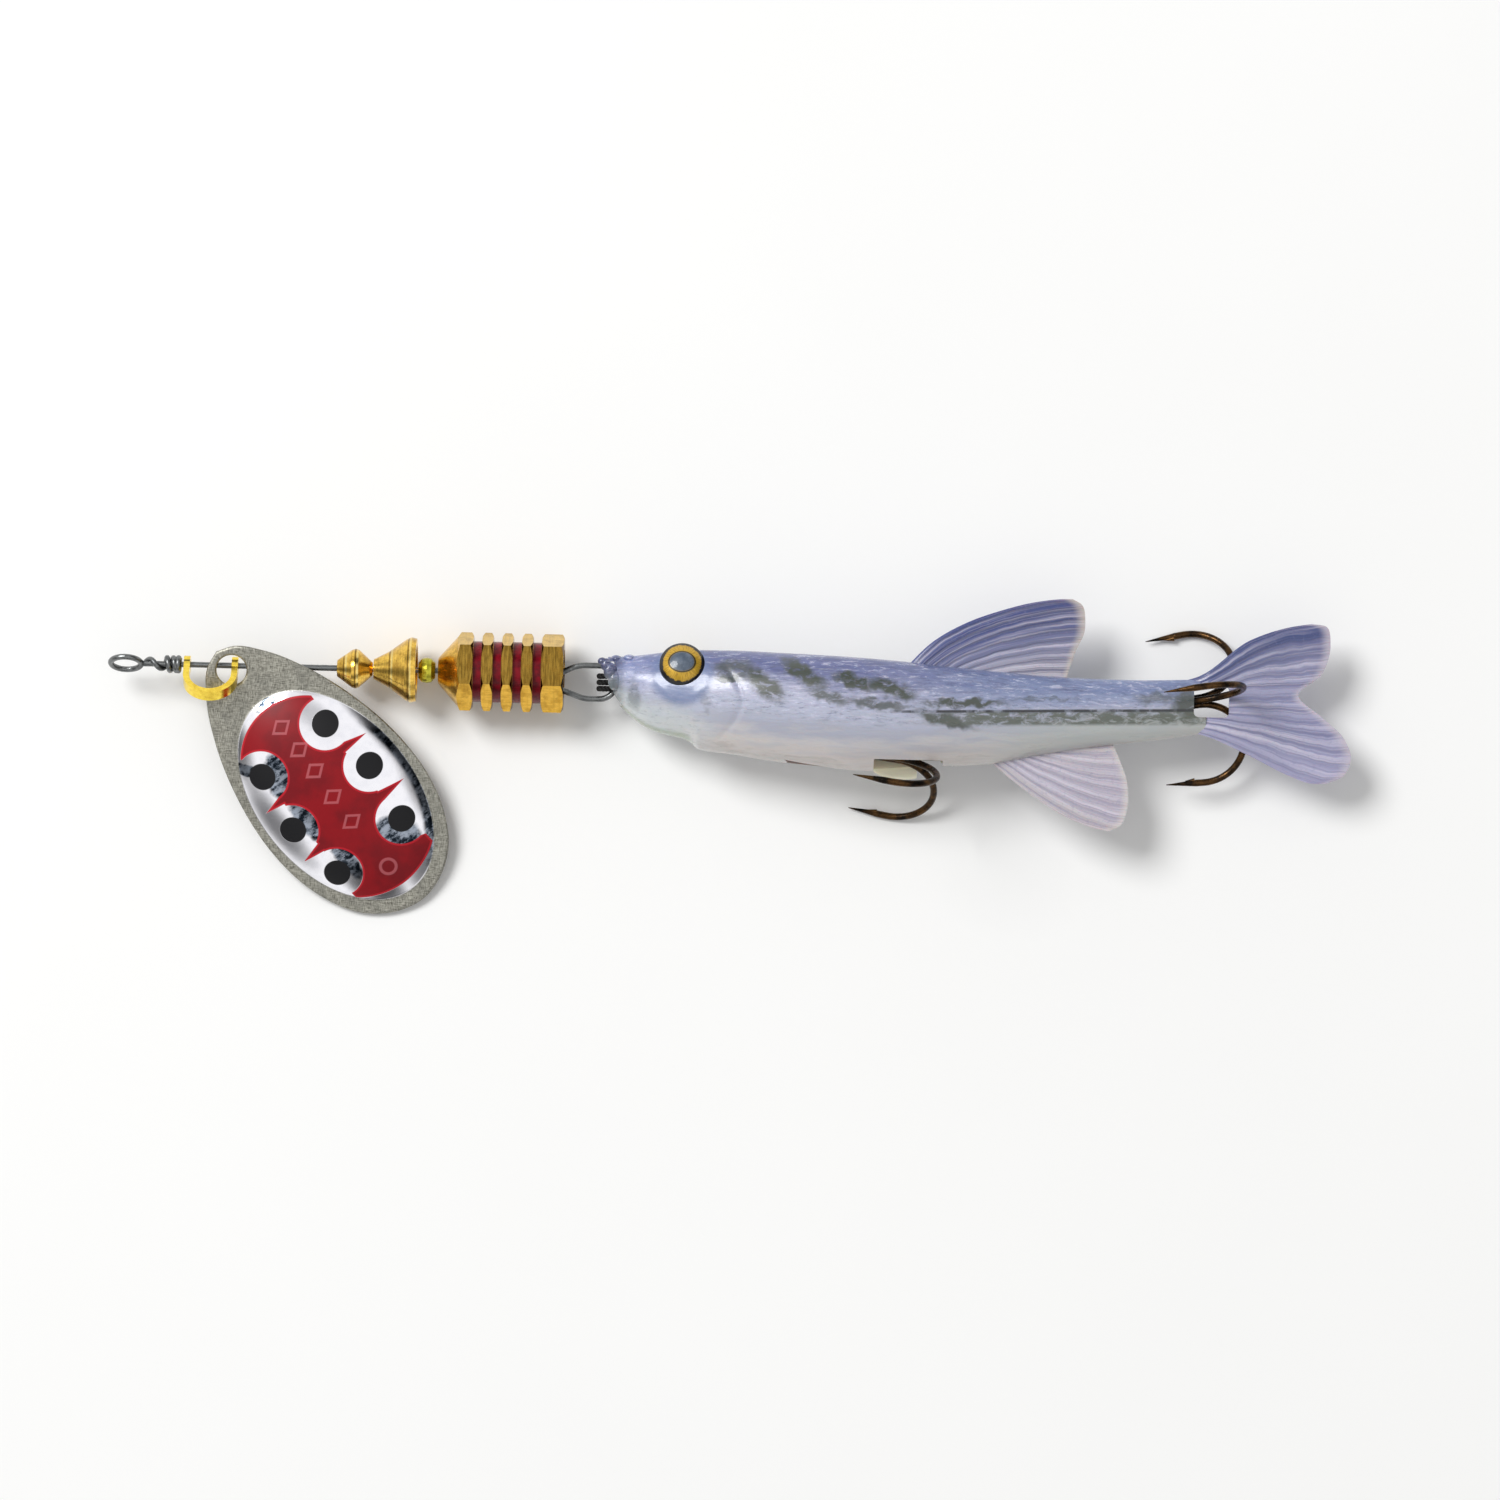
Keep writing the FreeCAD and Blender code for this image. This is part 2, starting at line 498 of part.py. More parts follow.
def build_harness():
    """The bail in the lashing, the wire down the minnow, and a ring for each hook's eye."""
    belly_ring, belly_end = harness_ring("belly_ring", BELLY_EYE, BELLY_SHANK_END, belly_swing_axis())
    tail_ring, tail_end = harness_ring("tail_ring", TAIL_EYE, TAIL_SHANK_END, Z_AXIS)
    y, half, bar = -size("loop_drop"), size("bail_half_width"), size("bail_bar")
    join_point = Vector(size("bail_rear"), y, 0)
    wire = size("harness_radius")
    shoulder = size("bail_shoulder")
    bail = bent_wire("bail", [join_point, Vector(shoulder, y + half, 0), Vector(bar, y + half, 0),
                              Vector(bar, y - half, 0), Vector(shoulder, y - half, 0),
                              join_point + X_AXIS * size("bail_bend")], wire, size("bail_bend"))
    front = [join_point, Vector(53.2, -2.1, 0.9), belly_end]
    branch = front[1] + (belly_end - front[1]) * 0.4
    rear = [branch, Vector(60.0, -2.5, 2.9), Vector(67.0, -2.5, 3.55), Vector(76.5, -2.75, 3.45),
            Vector(82.0, -3.05, 3.05), tail_end]
    wires = [bent_wire("front_wire", front, wire, size("front_bend")),
             bent_wire("rear_wire", rear, wire, size("rear_bend"))]
    finish(one_by_one("harness_wires", "Fuse", bail, wires + [belly_ring, tail_ring]), "harness_wire")
    return front, rear


def crimp(name, start, end):
    """A sleeve squeezed on the harness wire."""
    place = along(start, end - start)
    tube, hole = (primitive("Cylinder", name + role, {"Radius": radius, "Height": "crimp_length"}, place)
                  for role, radius in (("_tube", "crimp_radius"), ("_hole", "harness_radius")))
    finish(cut(name + "_sleeve", tube, hole), name)


# --- minnow ---------------------------------------------------------------------------------------
def minnow_loft():
    """A smooth body through an ellipse at each station."""
    rings = []
    for n, (x, back, belly, half_thick, middle) in enumerate(MINNOW_STATIONS):
        ring = doc.addObject("Part::Ellipse", "station%d" % n)
        ring.MajorRadius = max((back - belly) / 2, half_thick)
        ring.MinorRadius = min((back - belly) / 2, half_thick)
        ring.Placement = Placement(Vector(x, (back + belly) / 2, middle),
                                   Rotation(Y_AXIS, Z_AXIS, X_AXIS, "XYZ"))
        rings.append(ring)
    body = doc.addObject("Part::Loft", "minnow_loft")
    body.Sections = rings
    body.Solid = True
    return body


def rear_plane():
    """The mid plane of the minnow's rear half, which sags towards the tail."""
    lift = Placement(Vector(FIN_PLANE_X, 0, FIN_PLANE_Z), Rotation(Y_AXIS, -FIN_PLANE_SLOPE))
    return lift.multiply(Placement(Vector(-FIN_PLANE_X, 0, 0), Rotation()))


def build_fins():
    fins = []
    for name, outline in (("dorsal_fin", DORSAL_FIN), ("anal_fin", ANAL_FIN), ("tail_fin", TAIL_FIN)):
        fin = outline_face(name, outline, 0, size("fin_thick"))
        fin.Placement = rear_plane().multiply(Placement(Vector(0, 0, -size("fin_thick") / 2), Rotation()))
        fins.append(fin)
    return fins


def slot_box(name, frame, low, high):
    """A box between two corners in a frame of its own."""
    span = high - low
    box = primitive("Box", name, {"Length": "%g" % span.x, "Width": "%g" % span.y, "Height": "%g" % span.z},
                    frame.multiply(Placement(low, Rotation())))
    return box


def build_hollows(front, rear):
    """Everything that is open inside the minnow: mouth, wire channel, hook slots and eye sockets."""
    top, bottom = size("mouth_top"), size("mouth_bottom")
    hollows = [slot_box("mouth_opening", NO_MOVE, Vector(44, bottom - 3, -4),
                        Vector(size("mouth_front"), top, 4)),
               slot_box("mouth", NO_MOVE, Vector(46, bottom, -size("mouth_half_depth")),
                        Vector(size("mouth_rear"), top, size("mouth_half_depth")))]
    channel = size("harness_radius") + 0.12
    for name, route, bend in (("front_channel", front, "front_bend"), ("rear_channel", rear, "rear_bend")):
        hollows.append(bent_wire(name, route, channel, size(bend)))
    hollows.append(primitive("Cylinder", "bail_room", {"Radius": "bail_half_width + 0.6", "Height": "1.2"},
                             Placement(Vector(size("bail_bar") + 1.4, -size("loop_drop"), -0.6), Rotation())))
    for name, start, end in crimp_places(front, rear):
        room = primitive("Cylinder", name + "_room",
                         {"Radius": "crimp_radius + 0.1", "Height": "crimp_length + 0.6"},
                         along(start - (end - start).normalize() * 0.3, end - start))
        hollows.append(room)
    belly = hook_frame(BELLY_SHANK_END, BELLY_EYE, BELLY_PRONGS[2])
    length = (BELLY_SHANK_END - BELLY_EYE).Length
    reach = size("hook_spread")
    hollows += [
        slot_box("belly_shank_slot", belly, Vector(-length - 0.2, -0.95, -9), Vector(5.4, 0.95, 1.2)),
        slot_box("belly_prong_slot", belly, Vector(-5.4, -0.6, -3), Vector(5.0, 0.6, reach + 2.2)),
        slot_box("belly_window", NO_MOVE, Vector(71.9, -12, -8), Vector(79.4, -7.45, 12)),
        slot_box("belly_eye_room", belly, Vector(-length - 2.55, -1.5, -1.3),
                 Vector(-length + 1.6, 1.5, 1.7))]
    tail = hook_frame(TAIL_SHANK_END, TAIL_EYE, 0)
    run = (TAIL_SHANK_END - TAIL_EYE).Length
    hollows += [
        slot_box("tail_eye_room", tail, Vector(-run - 2.6, -1.45, -1.6), Vector(-run + 1.6, 1.5, 1.55)),
        slot_box("tail_shank_slot", tail, Vector(-run, -0.9, -1.4), Vector(0.5, 0.9, 1.3)),
        slot_box("tail_window", tail, Vector(-0.6, -5, -2.75), Vector(5.1, 5, 1.55))]
    return hollows


def crimp_places(front, rear):
    lead = (front[1] - front[0]).normalize()
    trail = (rear[-1] - rear[-2]).normalize()
    return [("front_crimp", front[0] + lead * 0.5, front[1]),
            ("tail_crimp", rear[-1] - trail * (size("crimp_length") + 0.6), rear[-1])]


def build_eyes():
    """Two domed eyes, stuck into sockets in the minnow's head."""
    sockets = []
    for name, side in (("left_eye", 1), ("right_eye", -1)):
        tilt = Rotation(X_AXIS, -size("eye_tilt_up") if side > 0 else 180 + size("eye_tilt_up"))
        middle = Vector(size("eye_x"), size("eye_y"), size("eye_z"))
        frame = Placement(middle, tilt).multiply(Placement(Z_AXIS * size("eye_depth"), Rotation()))
        disc = primitive("Cylinder", name + "_disc", {"Radius": "eye_radius", "Height": "eye_seat * 2.5"},
                         frame)
        sink = size("eye_dome") - math.sqrt(size("eye_dome") ** 2 - size("eye_radius") ** 2)
        lift = size("eye_seat") + sink - size("eye_dome")
        dome = primitive("Sphere", name + "_dome", {"Radius": "eye_dome"},
                         frame.multiply(Placement(Z_AXIS * lift, Rotation())))
        finish(common(name + "_lens", disc, dome), name)
        sockets.append(primitive("Cylinder", name + "_socket", {"Radius": "eye_radius + 0.02", "Height": "6"},
                                 frame))
    return sockets


def build_minnow(front, rear):
    skin = one_by_one("minnow_skin", "Fuse", minnow_loft(), build_fins())
    hollows = build_hollows(front, rear) + build_eyes()
    finish(one_by_one("minnow_hollowed", "Cut", skin, hollows), "minnow_body")


build_shaft()
build_clevis()
build_blade()
build_turned_pieces()
build_weight()
build_lashing()
front_route, rear_route = build_harness()
for crimp_name, crimp_start, crimp_end in crimp_places(front_route, rear_route):
    crimp(crimp_name, crimp_start, crimp_end)
build_treble("belly_treble", BELLY_SHANK_END, BELLY_EYE, BELLY_PRONGS, belly_swing_axis())
build_treble("tail_treble", TAIL_SHANK_END, TAIL_EYE, TAIL_PRONGS, Z_AXIS)
build_minnow(front_route, rear_route)

doc.recompute()
for item in doc.Objects:
    if "Invalid" in item.State or "Error" in item.State:
        raise RuntimeError("%s failed: %s" % (item.Name, item.State))
os.makedirs("parts", exist_ok=True)
for item in sub_parts:
    if item.Shape.isNull() or not item.Shape.isValid():
        raise RuntimeError("%s has no valid shape" % item.Label)
    item.Shape.exportStep("parts/%s.step" % item.Label)
    box = item.Shape.optimalBoundingBox()
    print("%-20s solids %d volume %8.3f  x %.2f %.2f  y %.2f %.2f  z %.2f %.2f" % (
        item.Label, len(item.Shape.Solids), item.Shape.Volume,
        box.XMin, box.XMax, box.YMin, box.YMax, box.ZMin, box.ZMax))
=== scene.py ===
"""Looks for the inline spinner: blade print, braided lashing, moulded minnow, eyes and every finish."""

import math

import bmesh
import bpy
import numpy as np
from mathutils import Matrix, Vector


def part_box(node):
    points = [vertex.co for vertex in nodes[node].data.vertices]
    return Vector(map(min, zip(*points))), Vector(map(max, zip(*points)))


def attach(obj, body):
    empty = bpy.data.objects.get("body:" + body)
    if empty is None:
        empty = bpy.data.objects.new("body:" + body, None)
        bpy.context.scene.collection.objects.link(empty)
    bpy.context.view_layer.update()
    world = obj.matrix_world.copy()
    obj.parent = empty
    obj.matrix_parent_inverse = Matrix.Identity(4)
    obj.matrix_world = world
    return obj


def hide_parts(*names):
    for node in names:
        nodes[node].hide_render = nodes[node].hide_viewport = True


MM = 0.001

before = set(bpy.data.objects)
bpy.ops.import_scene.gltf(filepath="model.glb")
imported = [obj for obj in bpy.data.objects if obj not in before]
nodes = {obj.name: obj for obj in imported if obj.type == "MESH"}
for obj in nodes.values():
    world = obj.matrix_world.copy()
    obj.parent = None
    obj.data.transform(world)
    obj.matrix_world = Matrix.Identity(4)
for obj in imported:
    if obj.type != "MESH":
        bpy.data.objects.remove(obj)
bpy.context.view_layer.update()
lowest = min(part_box(name)[0].z for name in nodes)


# --- node helpers ---
class Tree:
    """A small builder for one material's nodes."""

    def __init__(self, name, **shader):
        self.material = bpy.data.materials.new(name)
        self.material.use_nodes = True
        self.nodes = self.material.node_tree.nodes
        self.links = self.material.node_tree.links
        self.shader = self.nodes["Principled BSDF"]
        for socket, value in shader.items():
            self.set(self.shader.inputs[socket.replace("_", " ")], value)

    def set(self, socket, value):
        if isinstance(value, bpy.types.NodeSocket):
            self.links.new(value, socket)
        else:
            if getattr(socket, "type", "") == "RGBA" and len(value) == 3:
                value = (*value, 1)
            socket.default_value = value

    def add(self, kind, *inputs, **settings):
        made = self.nodes.new("ShaderNode" + kind)
        for key, value in settings.items():
            setattr(made, key, value)
        for n, value in enumerate(inputs):
            if value is not None:
                self.set(made.inputs[n], value)
        return made

    def math(self, operation, a, b=None):
        return self.add("Math", a, b, operation=operation).outputs[0]

    def times(self, a, b):
        return self.math("MULTIPLY", a, b)

    def plus(self, a, b):
        return self.math("ADD", a, b)

    def minus(self, a, b):
        return self.math("SUBTRACT", a, b)

    def hypot(self, a, b):
        return self.math("SQRT", self.plus(self.times(a, a), self.times(b, b)))

    def most(self, a, b):
        """The larger of two, or b where there is no a yet."""
        return b if a is None else self.math("MAXIMUM", a, b)

    def least(self, a, b):
        """The smaller of two, or b where there is no a yet."""
        return b if a is None else self.math("MINIMUM", a, b)

    def vector(self, operation, a, b=None):
        made = self.add("VectorMath", a, b, operation=operation)
        return made.outputs["Value" if operation in ("DOT_PRODUCT", "LENGTH") else "Vector"]

    def dot(self, a, b):
        return self.vector("DOT_PRODUCT", a, tuple(b))

    def away(self, vector, place):
        """The distance of a vector from a place."""
        return self.vector("LENGTH", self.vector("SUBTRACT", vector, place))

    def place(self):
        """The point in the rest frame, in millimetres."""
        coordinates = self.add("TexCoord").outputs["Object"]
        made = self.add("VectorMath", coordinates, operation="SCALE")
        made.inputs["Scale"].default_value = 1 / MM
        return made.outputs["Vector"]

    def split(self, vector):
        return self.add("SeparateXYZ", vector).outputs[:]

    def noise(self, vector, scale, detail=4, rough=0.55, stretch=(1, 1, 1), distortion=0.0):
        moved = self.add("Mapping", vector)
        moved.inputs["Scale"].default_value = stretch
        made = self.add("TexNoise", moved.outputs[0])
        settings = {"Scale": scale, "Detail": detail, "Roughness": rough, "Distortion": distortion}
        for key, value in settings.items():
            made.inputs[key].default_value = value
        return made.outputs[0]

    def ramp(self, value, low, high, out_low=0.0, out_high=1.0, smooth=True):
        made = self.add("MapRange", value, interpolation_type="SMOOTHSTEP" if smooth else "LINEAR")
        for n, number in zip((1, 2, 3, 4), (low, high, out_low, out_high)):
            self.set(made.inputs[n], number)
        return made.outputs[0]

    def band(self, value, low, high, soft):
        """1 between low and high, with soft edges."""
        up = self.ramp(value, low - soft, low + soft)
        down = self.ramp(value, high - soft, high + soft, 1.0, 0.0)
        return self.times(up, down)

    def mix(self, factor, a, b):
        made = self.add("Mix", data_type="RGBA")
        self.set(made.inputs[0], factor)
        self.set(made.inputs[6], a)
        self.set(made.inputs[7], b)
        return made.outputs[2]

    def lay(self, tone, mask, strength=None):
        """Lays a tone (screen values or a socket) over the colour so far, where the mask is 1."""
        if strength is not None:
            mask = self.times(mask, strength)
        if isinstance(tone, tuple):
            tone = srgb(*tone)
        self.colour = self.mix(mask, self.colour, tone)

    def spot(self, vector, x, y, rx, ry, angle=0.0, soft=0.5):
        """A soft oval spot in the XY plane of a vector: 1 inside, 0 outside."""
        moved = self.add("Mapping", vector, vector_type="TEXTURE")
        moved.inputs["Location"].default_value = (x, y, 0)
        moved.inputs["Rotation"].default_value = (0, 0, math.radians(angle))
        moved.inputs["Scale"].default_value = (rx, ry, 1e6)
        return self.ramp(self.vector("LENGTH", moved.outputs[0]), 1 - soft, 1 + soft, 1.0, 0.0)

    def warped(self, vector, scale, reach):
        """The vector, pushed about by soft noise of that reach."""
        cloud = self.add("TexNoise", vector)
        cloud.inputs["Scale"].default_value = scale
        push = self.vector("SUBTRACT", cloud.outputs[1], (0.5, 0.5, 0.5))
        return self.vector("ADD", vector, self.vector("MULTIPLY", push, (reach, reach, reach)))

    def bump(self, height, strength, distance_mm):
        made = self.add("Bump")
        made.inputs["Strength"].default_value = strength
        made.inputs["Distance"].default_value = distance_mm * MM
        self.set(made.inputs["Height"], height)
        self.links.new(made.outputs[0], self.shader.inputs["Normal"])

    def out(self, socket, value):
        self.set(self.shader.inputs[socket], value)


def srgb(r, g, b):
    """A colour given in screen values from 0 to 255."""
    return tuple(((v / 255 + 0.055) / 1.055) ** 2.4 if v > 10 else v / 255 / 12.92 for v in (r, g, b))


def dress(name, material):
    """Gives a CAD node a finish."""
    mesh = nodes[name].data
    mesh.materials.clear()
    mesh.materials.append(material)
    for face in mesh.polygons:
        face.material_index = 0


# --- metals ---
def metal(name, base, dark, roughness, grain=(1, 1, 1), grain_scale=2.0, turned=0.0, bump=0.2, wear=0.35):
    """A worn bare metal: tarnish in soft patches, fine grain, and turning rings about the shaft if turned."""
    t = Tree(name, Metallic=1.0)
    t.colour = srgb(*base)
    p = t.place()
    patches = t.ramp(t.noise(p, 0.9, 5, 0.6), 0.42, 0.66)
    fine = t.noise(p, grain_scale, 3, 0.6, grain)
    t.lay(dark, t.times(patches, wear))
    t.lay(dark, t.ramp(fine, 0.35, 0.75, 0.0, 0.35))
    height = fine
    if turned:
        rings = t.noise(p, 6.0, 2, 0.6, (1, 0.02, 0.02))
        t.lay(dark, t.ramp(rings, 0.45, 0.75, 0.0, turned))
        height = t.plus(t.times(rings, 1.5), fine)
    t.out("Base Color", t.colour)
    t.out("Roughness", t.ramp(t.plus(fine, t.times(patches, 0.4)), 0.3, 1.1,
                              roughness * 0.75, roughness * 1.5))
    t.bump(height, bump, 0.02)
    return t


def step_shade_and_highlight(t, places):
    """Narrow rings of painted shade for the turned steps, each with a painted highlight along its edge, at
    places along the shaft.
    """
    x = t.split(t.place())[0]
    dark = bright = None
    for place in places:
        mark, edge = t.band(x, place - 0.06, place + 0.06, 0.05), t.band(x, place + 0.14, place + 0.3, 0.06)
        dark = t.most(dark, mark)
        bright = t.most(bright, edge)
    # painted highlight along each ring's edge, then painted shade in each ring
    t.lay((255, 236, 160), bright, 0.6)
    t.lay((70, 40, 6), dark, 0.75)
    t.out("Base Color", t.colour)
    return t.material


# --- shape helpers ---
def turn_of(count):
    """Even angles around one turn."""
    return np.linspace(0, 2 * math.pi, count, endpoint=False)


def hermite(s, h, start, end, leave, arrive):
    """A cubic over a step of length h, from start to end, with those slopes; s runs from 0 to 1."""
    return ((2 * s**3 - 3 * s**2 + 1) * start + (s**3 - 2 * s**2 + s) * h * leave
            + (3 * s**2 - 2 * s**3) * end + (s**3 - s**2) * h * arrive)


def catmull(points, count):
    """A smooth curve through points, at count places evenly spaced along it."""
    p = np.array(points, float)
    knots = np.concatenate([[0], np.cumsum(np.linalg.norm(np.diff(p, axis=0), axis=1))])
    slopes = np.gradient(p, knots, axis=0)
    fine = np.linspace(0, knots[-1], 60 * len(p))
    k = np.clip(np.searchsorted(knots, fine) - 1, 0, len(p) - 2)
    h = (knots[k + 1] - knots[k])[:, None]
    s = ((fine - knots[k]) / h[:, 0])[:, None]
    line = hermite(s, h, p[k], p[k + 1], slopes[k], slopes[k + 1])
    run = np.concatenate([[0], np.cumsum(np.linalg.norm(np.diff(line, axis=0), axis=1))])
    even = np.linspace(0, run[-1], count)
    return np.stack([np.interp(even, run, line[:, n]) for n in range(line.shape[1])], axis=1)


def curve_of(points):
    """A function of X through (X, value) points, smooth and without overshoot."""
    p = np.array(points, float)
    d = np.diff(p[:, 1]) / np.diff(p[:, 0])
    both = d[:-1] * d[1:]
    inner = np.where(both > 0, 2 * both / (d[:-1] + d[1:] + 1e-12), 0)
    m = np.concatenate([[d[0]], inner, [d[-1]]])

    def value(x):
        x = np.clip(np.asarray(x, float), p[0, 0], p[-1, 0])
        k = np.clip(np.searchsorted(p[:, 0], x) - 1, 0, len(p) - 2)
        h = p[k + 1, 0] - p[k, 0]
        s = (x - p[k, 0]) / h
        return hermite(s, h, p[k, 1], p[k + 1, 1], m[k], m[k + 1])
    return value


def mesh_object(name, vertices, faces, smooth=True):
    """An object from vertices in millimetres."""
    mesh = bpy.data.meshes.new(name)
    mesh.from_pydata([tuple(v) for v in np.asarray(vertices, float) * MM], [], faces)
    mesh.validate()
    mesh.update()
    made = bpy.data.objects.new(name, mesh)
    bpy.context.scene.collection.objects.link(made)
    work = bmesh.new()
    work.from_mesh(mesh)
    bmesh.ops.remove_doubles(work, verts=work.verts, dist=1e-7)
    bmesh.ops.recalc_face_normals(work, faces=work.faces)
    work.to_mesh(mesh)
    work.free()
    for face in mesh.polygons:
        face.use_smooth = smooth
    return made


def ring_faces(rows, columns):
    """Quads between successive rows of points; each row closes on itself."""
    return [(r * columns + c, r * columns + (c + 1) % columns,
             (r + 1) * columns + (c + 1) % columns, (r + 1) * columns + c)
            for r in range(rows - 1) for c in range(columns)]


def closed_tube(p, radius, sides):
    """Vertices and faces of a round tube along a closed line of points."""
    n = len(p)
    tangent = np.roll(p, -1, 0) - np.roll(p, 1, 0)
    tangent /= np.linalg.norm(tangent, axis=1)[:, None]
    side = np.cross(tangent[0], (0.31, 0.17, 0.93))
    angles = turn_of(sides)[:, None]
    rows = []
    for k in range(n):
        side = side - tangent[k] * side.dot(tangent[k])
        side /= np.linalg.norm(side)
        other = np.cross(tangent[k], side)
        rows.append(p[k] + radius * (np.cos(angles) * side + np.sin(angles) * other))
    # the last ring meets the first where their points are nearest
    shift = int(np.argmin(np.linalg.norm(rows[0] - rows[-1][0], axis=1)))
    last = (n - 1) * sides
    faces = ring_faces(n, sides)
    faces += [(last + c, last + (c + 1) % sides, (c + 1 + shift) % sides, (c + shift) % sides)
              for c in range(sides)]
    return np.concatenate(rows), faces


def gather(parts):
    """Several (vertices, faces) as one."""
    vertices, faces, start = [], [], 0
    for v, f in parts:
        vertices.append(v)
        faces += [tuple(i + start for i in face) for face in f]
        start += len(v)
    return np.concatenate(vertices), faces


def boolean(target, tool, operation):
    """Applies one boolean to target and removes tool."""
    modifier = target.modifiers.new(operation, "BOOLEAN")
    modifier.operation = operation
    modifier.object = tool
    modifier.solver = "EXACT"
    modifier.material_mode = "INDEX"
    bpy.context.view_layer.update()
    done = bpy.data.meshes.new_from_object(target.evaluated_get(bpy.context.evaluated_depsgraph_get()))
    target.modifiers.clear()
    old, target.data = target.data, done
    bpy.data.meshes.remove(old)
    bpy.data.objects.remove(tool)


def from_bmesh(name, work):
    """An object from a bmesh in metres."""
    mesh = bpy.data.meshes.new(name)
    work.to_mesh(mesh)
    work.free()
    made = bpy.data.objects.new(name, mesh)
    bpy.context.scene.collection.objects.link(made)
    return made


def round_at(name, matrix, radius, height):
    """A round bar that stands on a frame's origin, in millimetres."""
    work = bmesh.new()
    bmesh.ops.create_cone(work, segments=96, radius1=radius, radius2=radius, depth=height, cap_ends=True)
    for vertex in work.verts:
        vertex.co = (matrix @ (vertex.co + Vector((0, 0, height / 2)))) * MM
    return from_bmesh(name, work)


def box_at(name, matrix, low, high, round_mm=0.0):
    """A box between two corners in a frame of its own, in millimetres."""
    work = bmesh.new()
    bmesh.ops.create_cube(work, size=1)
    low, high = Vector(low), Vector(high)
    for vertex in work.verts:
        vertex.co = Vector(low[n] + (vertex.co[n] + 0.5) * (high[n] - low[n]) for n in range(3))
    if round_mm:
        bmesh.ops.bevel(work, geom=list(work.edges), offset=round_mm, segments=3, profile=0.5, affect="EDGES")
    for vertex in work.verts:
        vertex.co = (matrix @ vertex.co) * MM
    return from_bmesh(name, work)


def prism_at(name, matrix, outline, half_depth):
    """A straight prism in a frame of its own: its outline in X and Z, its depth along Y, in millimetres."""
    count = len(outline)
    vertices = [matrix @ Vector((x, side * half_depth, z)) for side in (-1, 1) for x, z in outline]
    faces = [tuple(range(count)), tuple(range(2 * count - 1, count - 1, -1))]
    faces += [(n, (n + 1) % count, (n + 1) % count + count, n + count) for n in range(count)]
    return mesh_object(name, [tuple(v) for v in vertices], faces, smooth=False)


def ellipsoid(name, middle, radii):
    """A smooth lump, in millimetres."""
    work = bmesh.new()
    bmesh.ops.create_uvsphere(work, u_segments=48, v_segments=24, radius=1)
    for vertex in work.verts:
        vertex.co = Vector(middle[n] + vertex.co[n] * radii[n] for n in range(3)) * MM
    return from_bmesh(name, work)


# --- the minnow ---
# place on X, half thickness and height of the middle, along the body
GIRTH = [(45.5, 0.55, 0.00), (46.6, 1.35, 0.05), (48.2, 2.00, 0.30), (50.4, 2.60, 0.70), (53.4, 3.05, 1.25),
         (57.5, 3.35, 1.95), (63.0, 3.55, 2.70), (69.5, 3.60, 3.30), (76.0, 3.45, 3.40), (83.0, 2.95, 3.03),
         (90.0, 2.30, 2.67), (97.0, 1.75, 2.31), (103.6, 1.05, 2.15)]
BACK = [(45.5, 1.68), (46.6, 1.74), (48.2, 1.82), (49.4, 1.96), (51.2, 2.22), (52.8, 2.48), (55.1, 2.59),
        (58.9, 2.59), (62.7, 2.49), (66.6, 2.36), (70.0, 2.22), (74.2, 1.96), (79.1, 1.55), (83.9, 1.19),
        (90.3, 0.78), (96.0, 0.70), (103.6, 0.92)]
BELLY = [(45.5, 0.45), (46.6, -2.00), (48.1, -3.53), (49.9, -4.90), (51.4, -5.50), (53.6, -5.97),
         (54.4, -6.35), (55.1, -6.95), (58.5, -7.38), (62.1, -7.89), (66.8, -8.42), (70.3, -8.72),
         (74.5, -8.55), (78.5, -8.07), (83.2, -7.67), (87.3, -6.82), (93.7, -5.68), (99.3, -4.95),
         (103.6, -4.25)]
back_of, belly_of = curve_of(BACK), curve_of(BELLY)
half_of = curve_of([(x, half) for x, half, middle in GIRTH])
middle_of = curve_of([(x, middle) for x, half, middle in GIRTH])

# the eyes' middle, and how far each looks up
EYE_PLACE, EYE_HEIGHT, EYE_TURN = (53.4, 0.35), 1.25, 20
DORSAL_RAYS, ANAL_RAYS, TAIL_RAYS, TAIL_SLOT = 9, 8, 12, 3
# each treble's shank, from the end of its bend to its eye
BELLY_SHANK_END, BELLY_EYE = Vector((74.2, -7.2, 2.82)), Vector((59.05, -5.07, 2.5))
TAIL_SHANK_END, TAIL_EYE = Vector((102.9, -1.15, 2.0)), Vector((87.85, -3.5, 2.45))


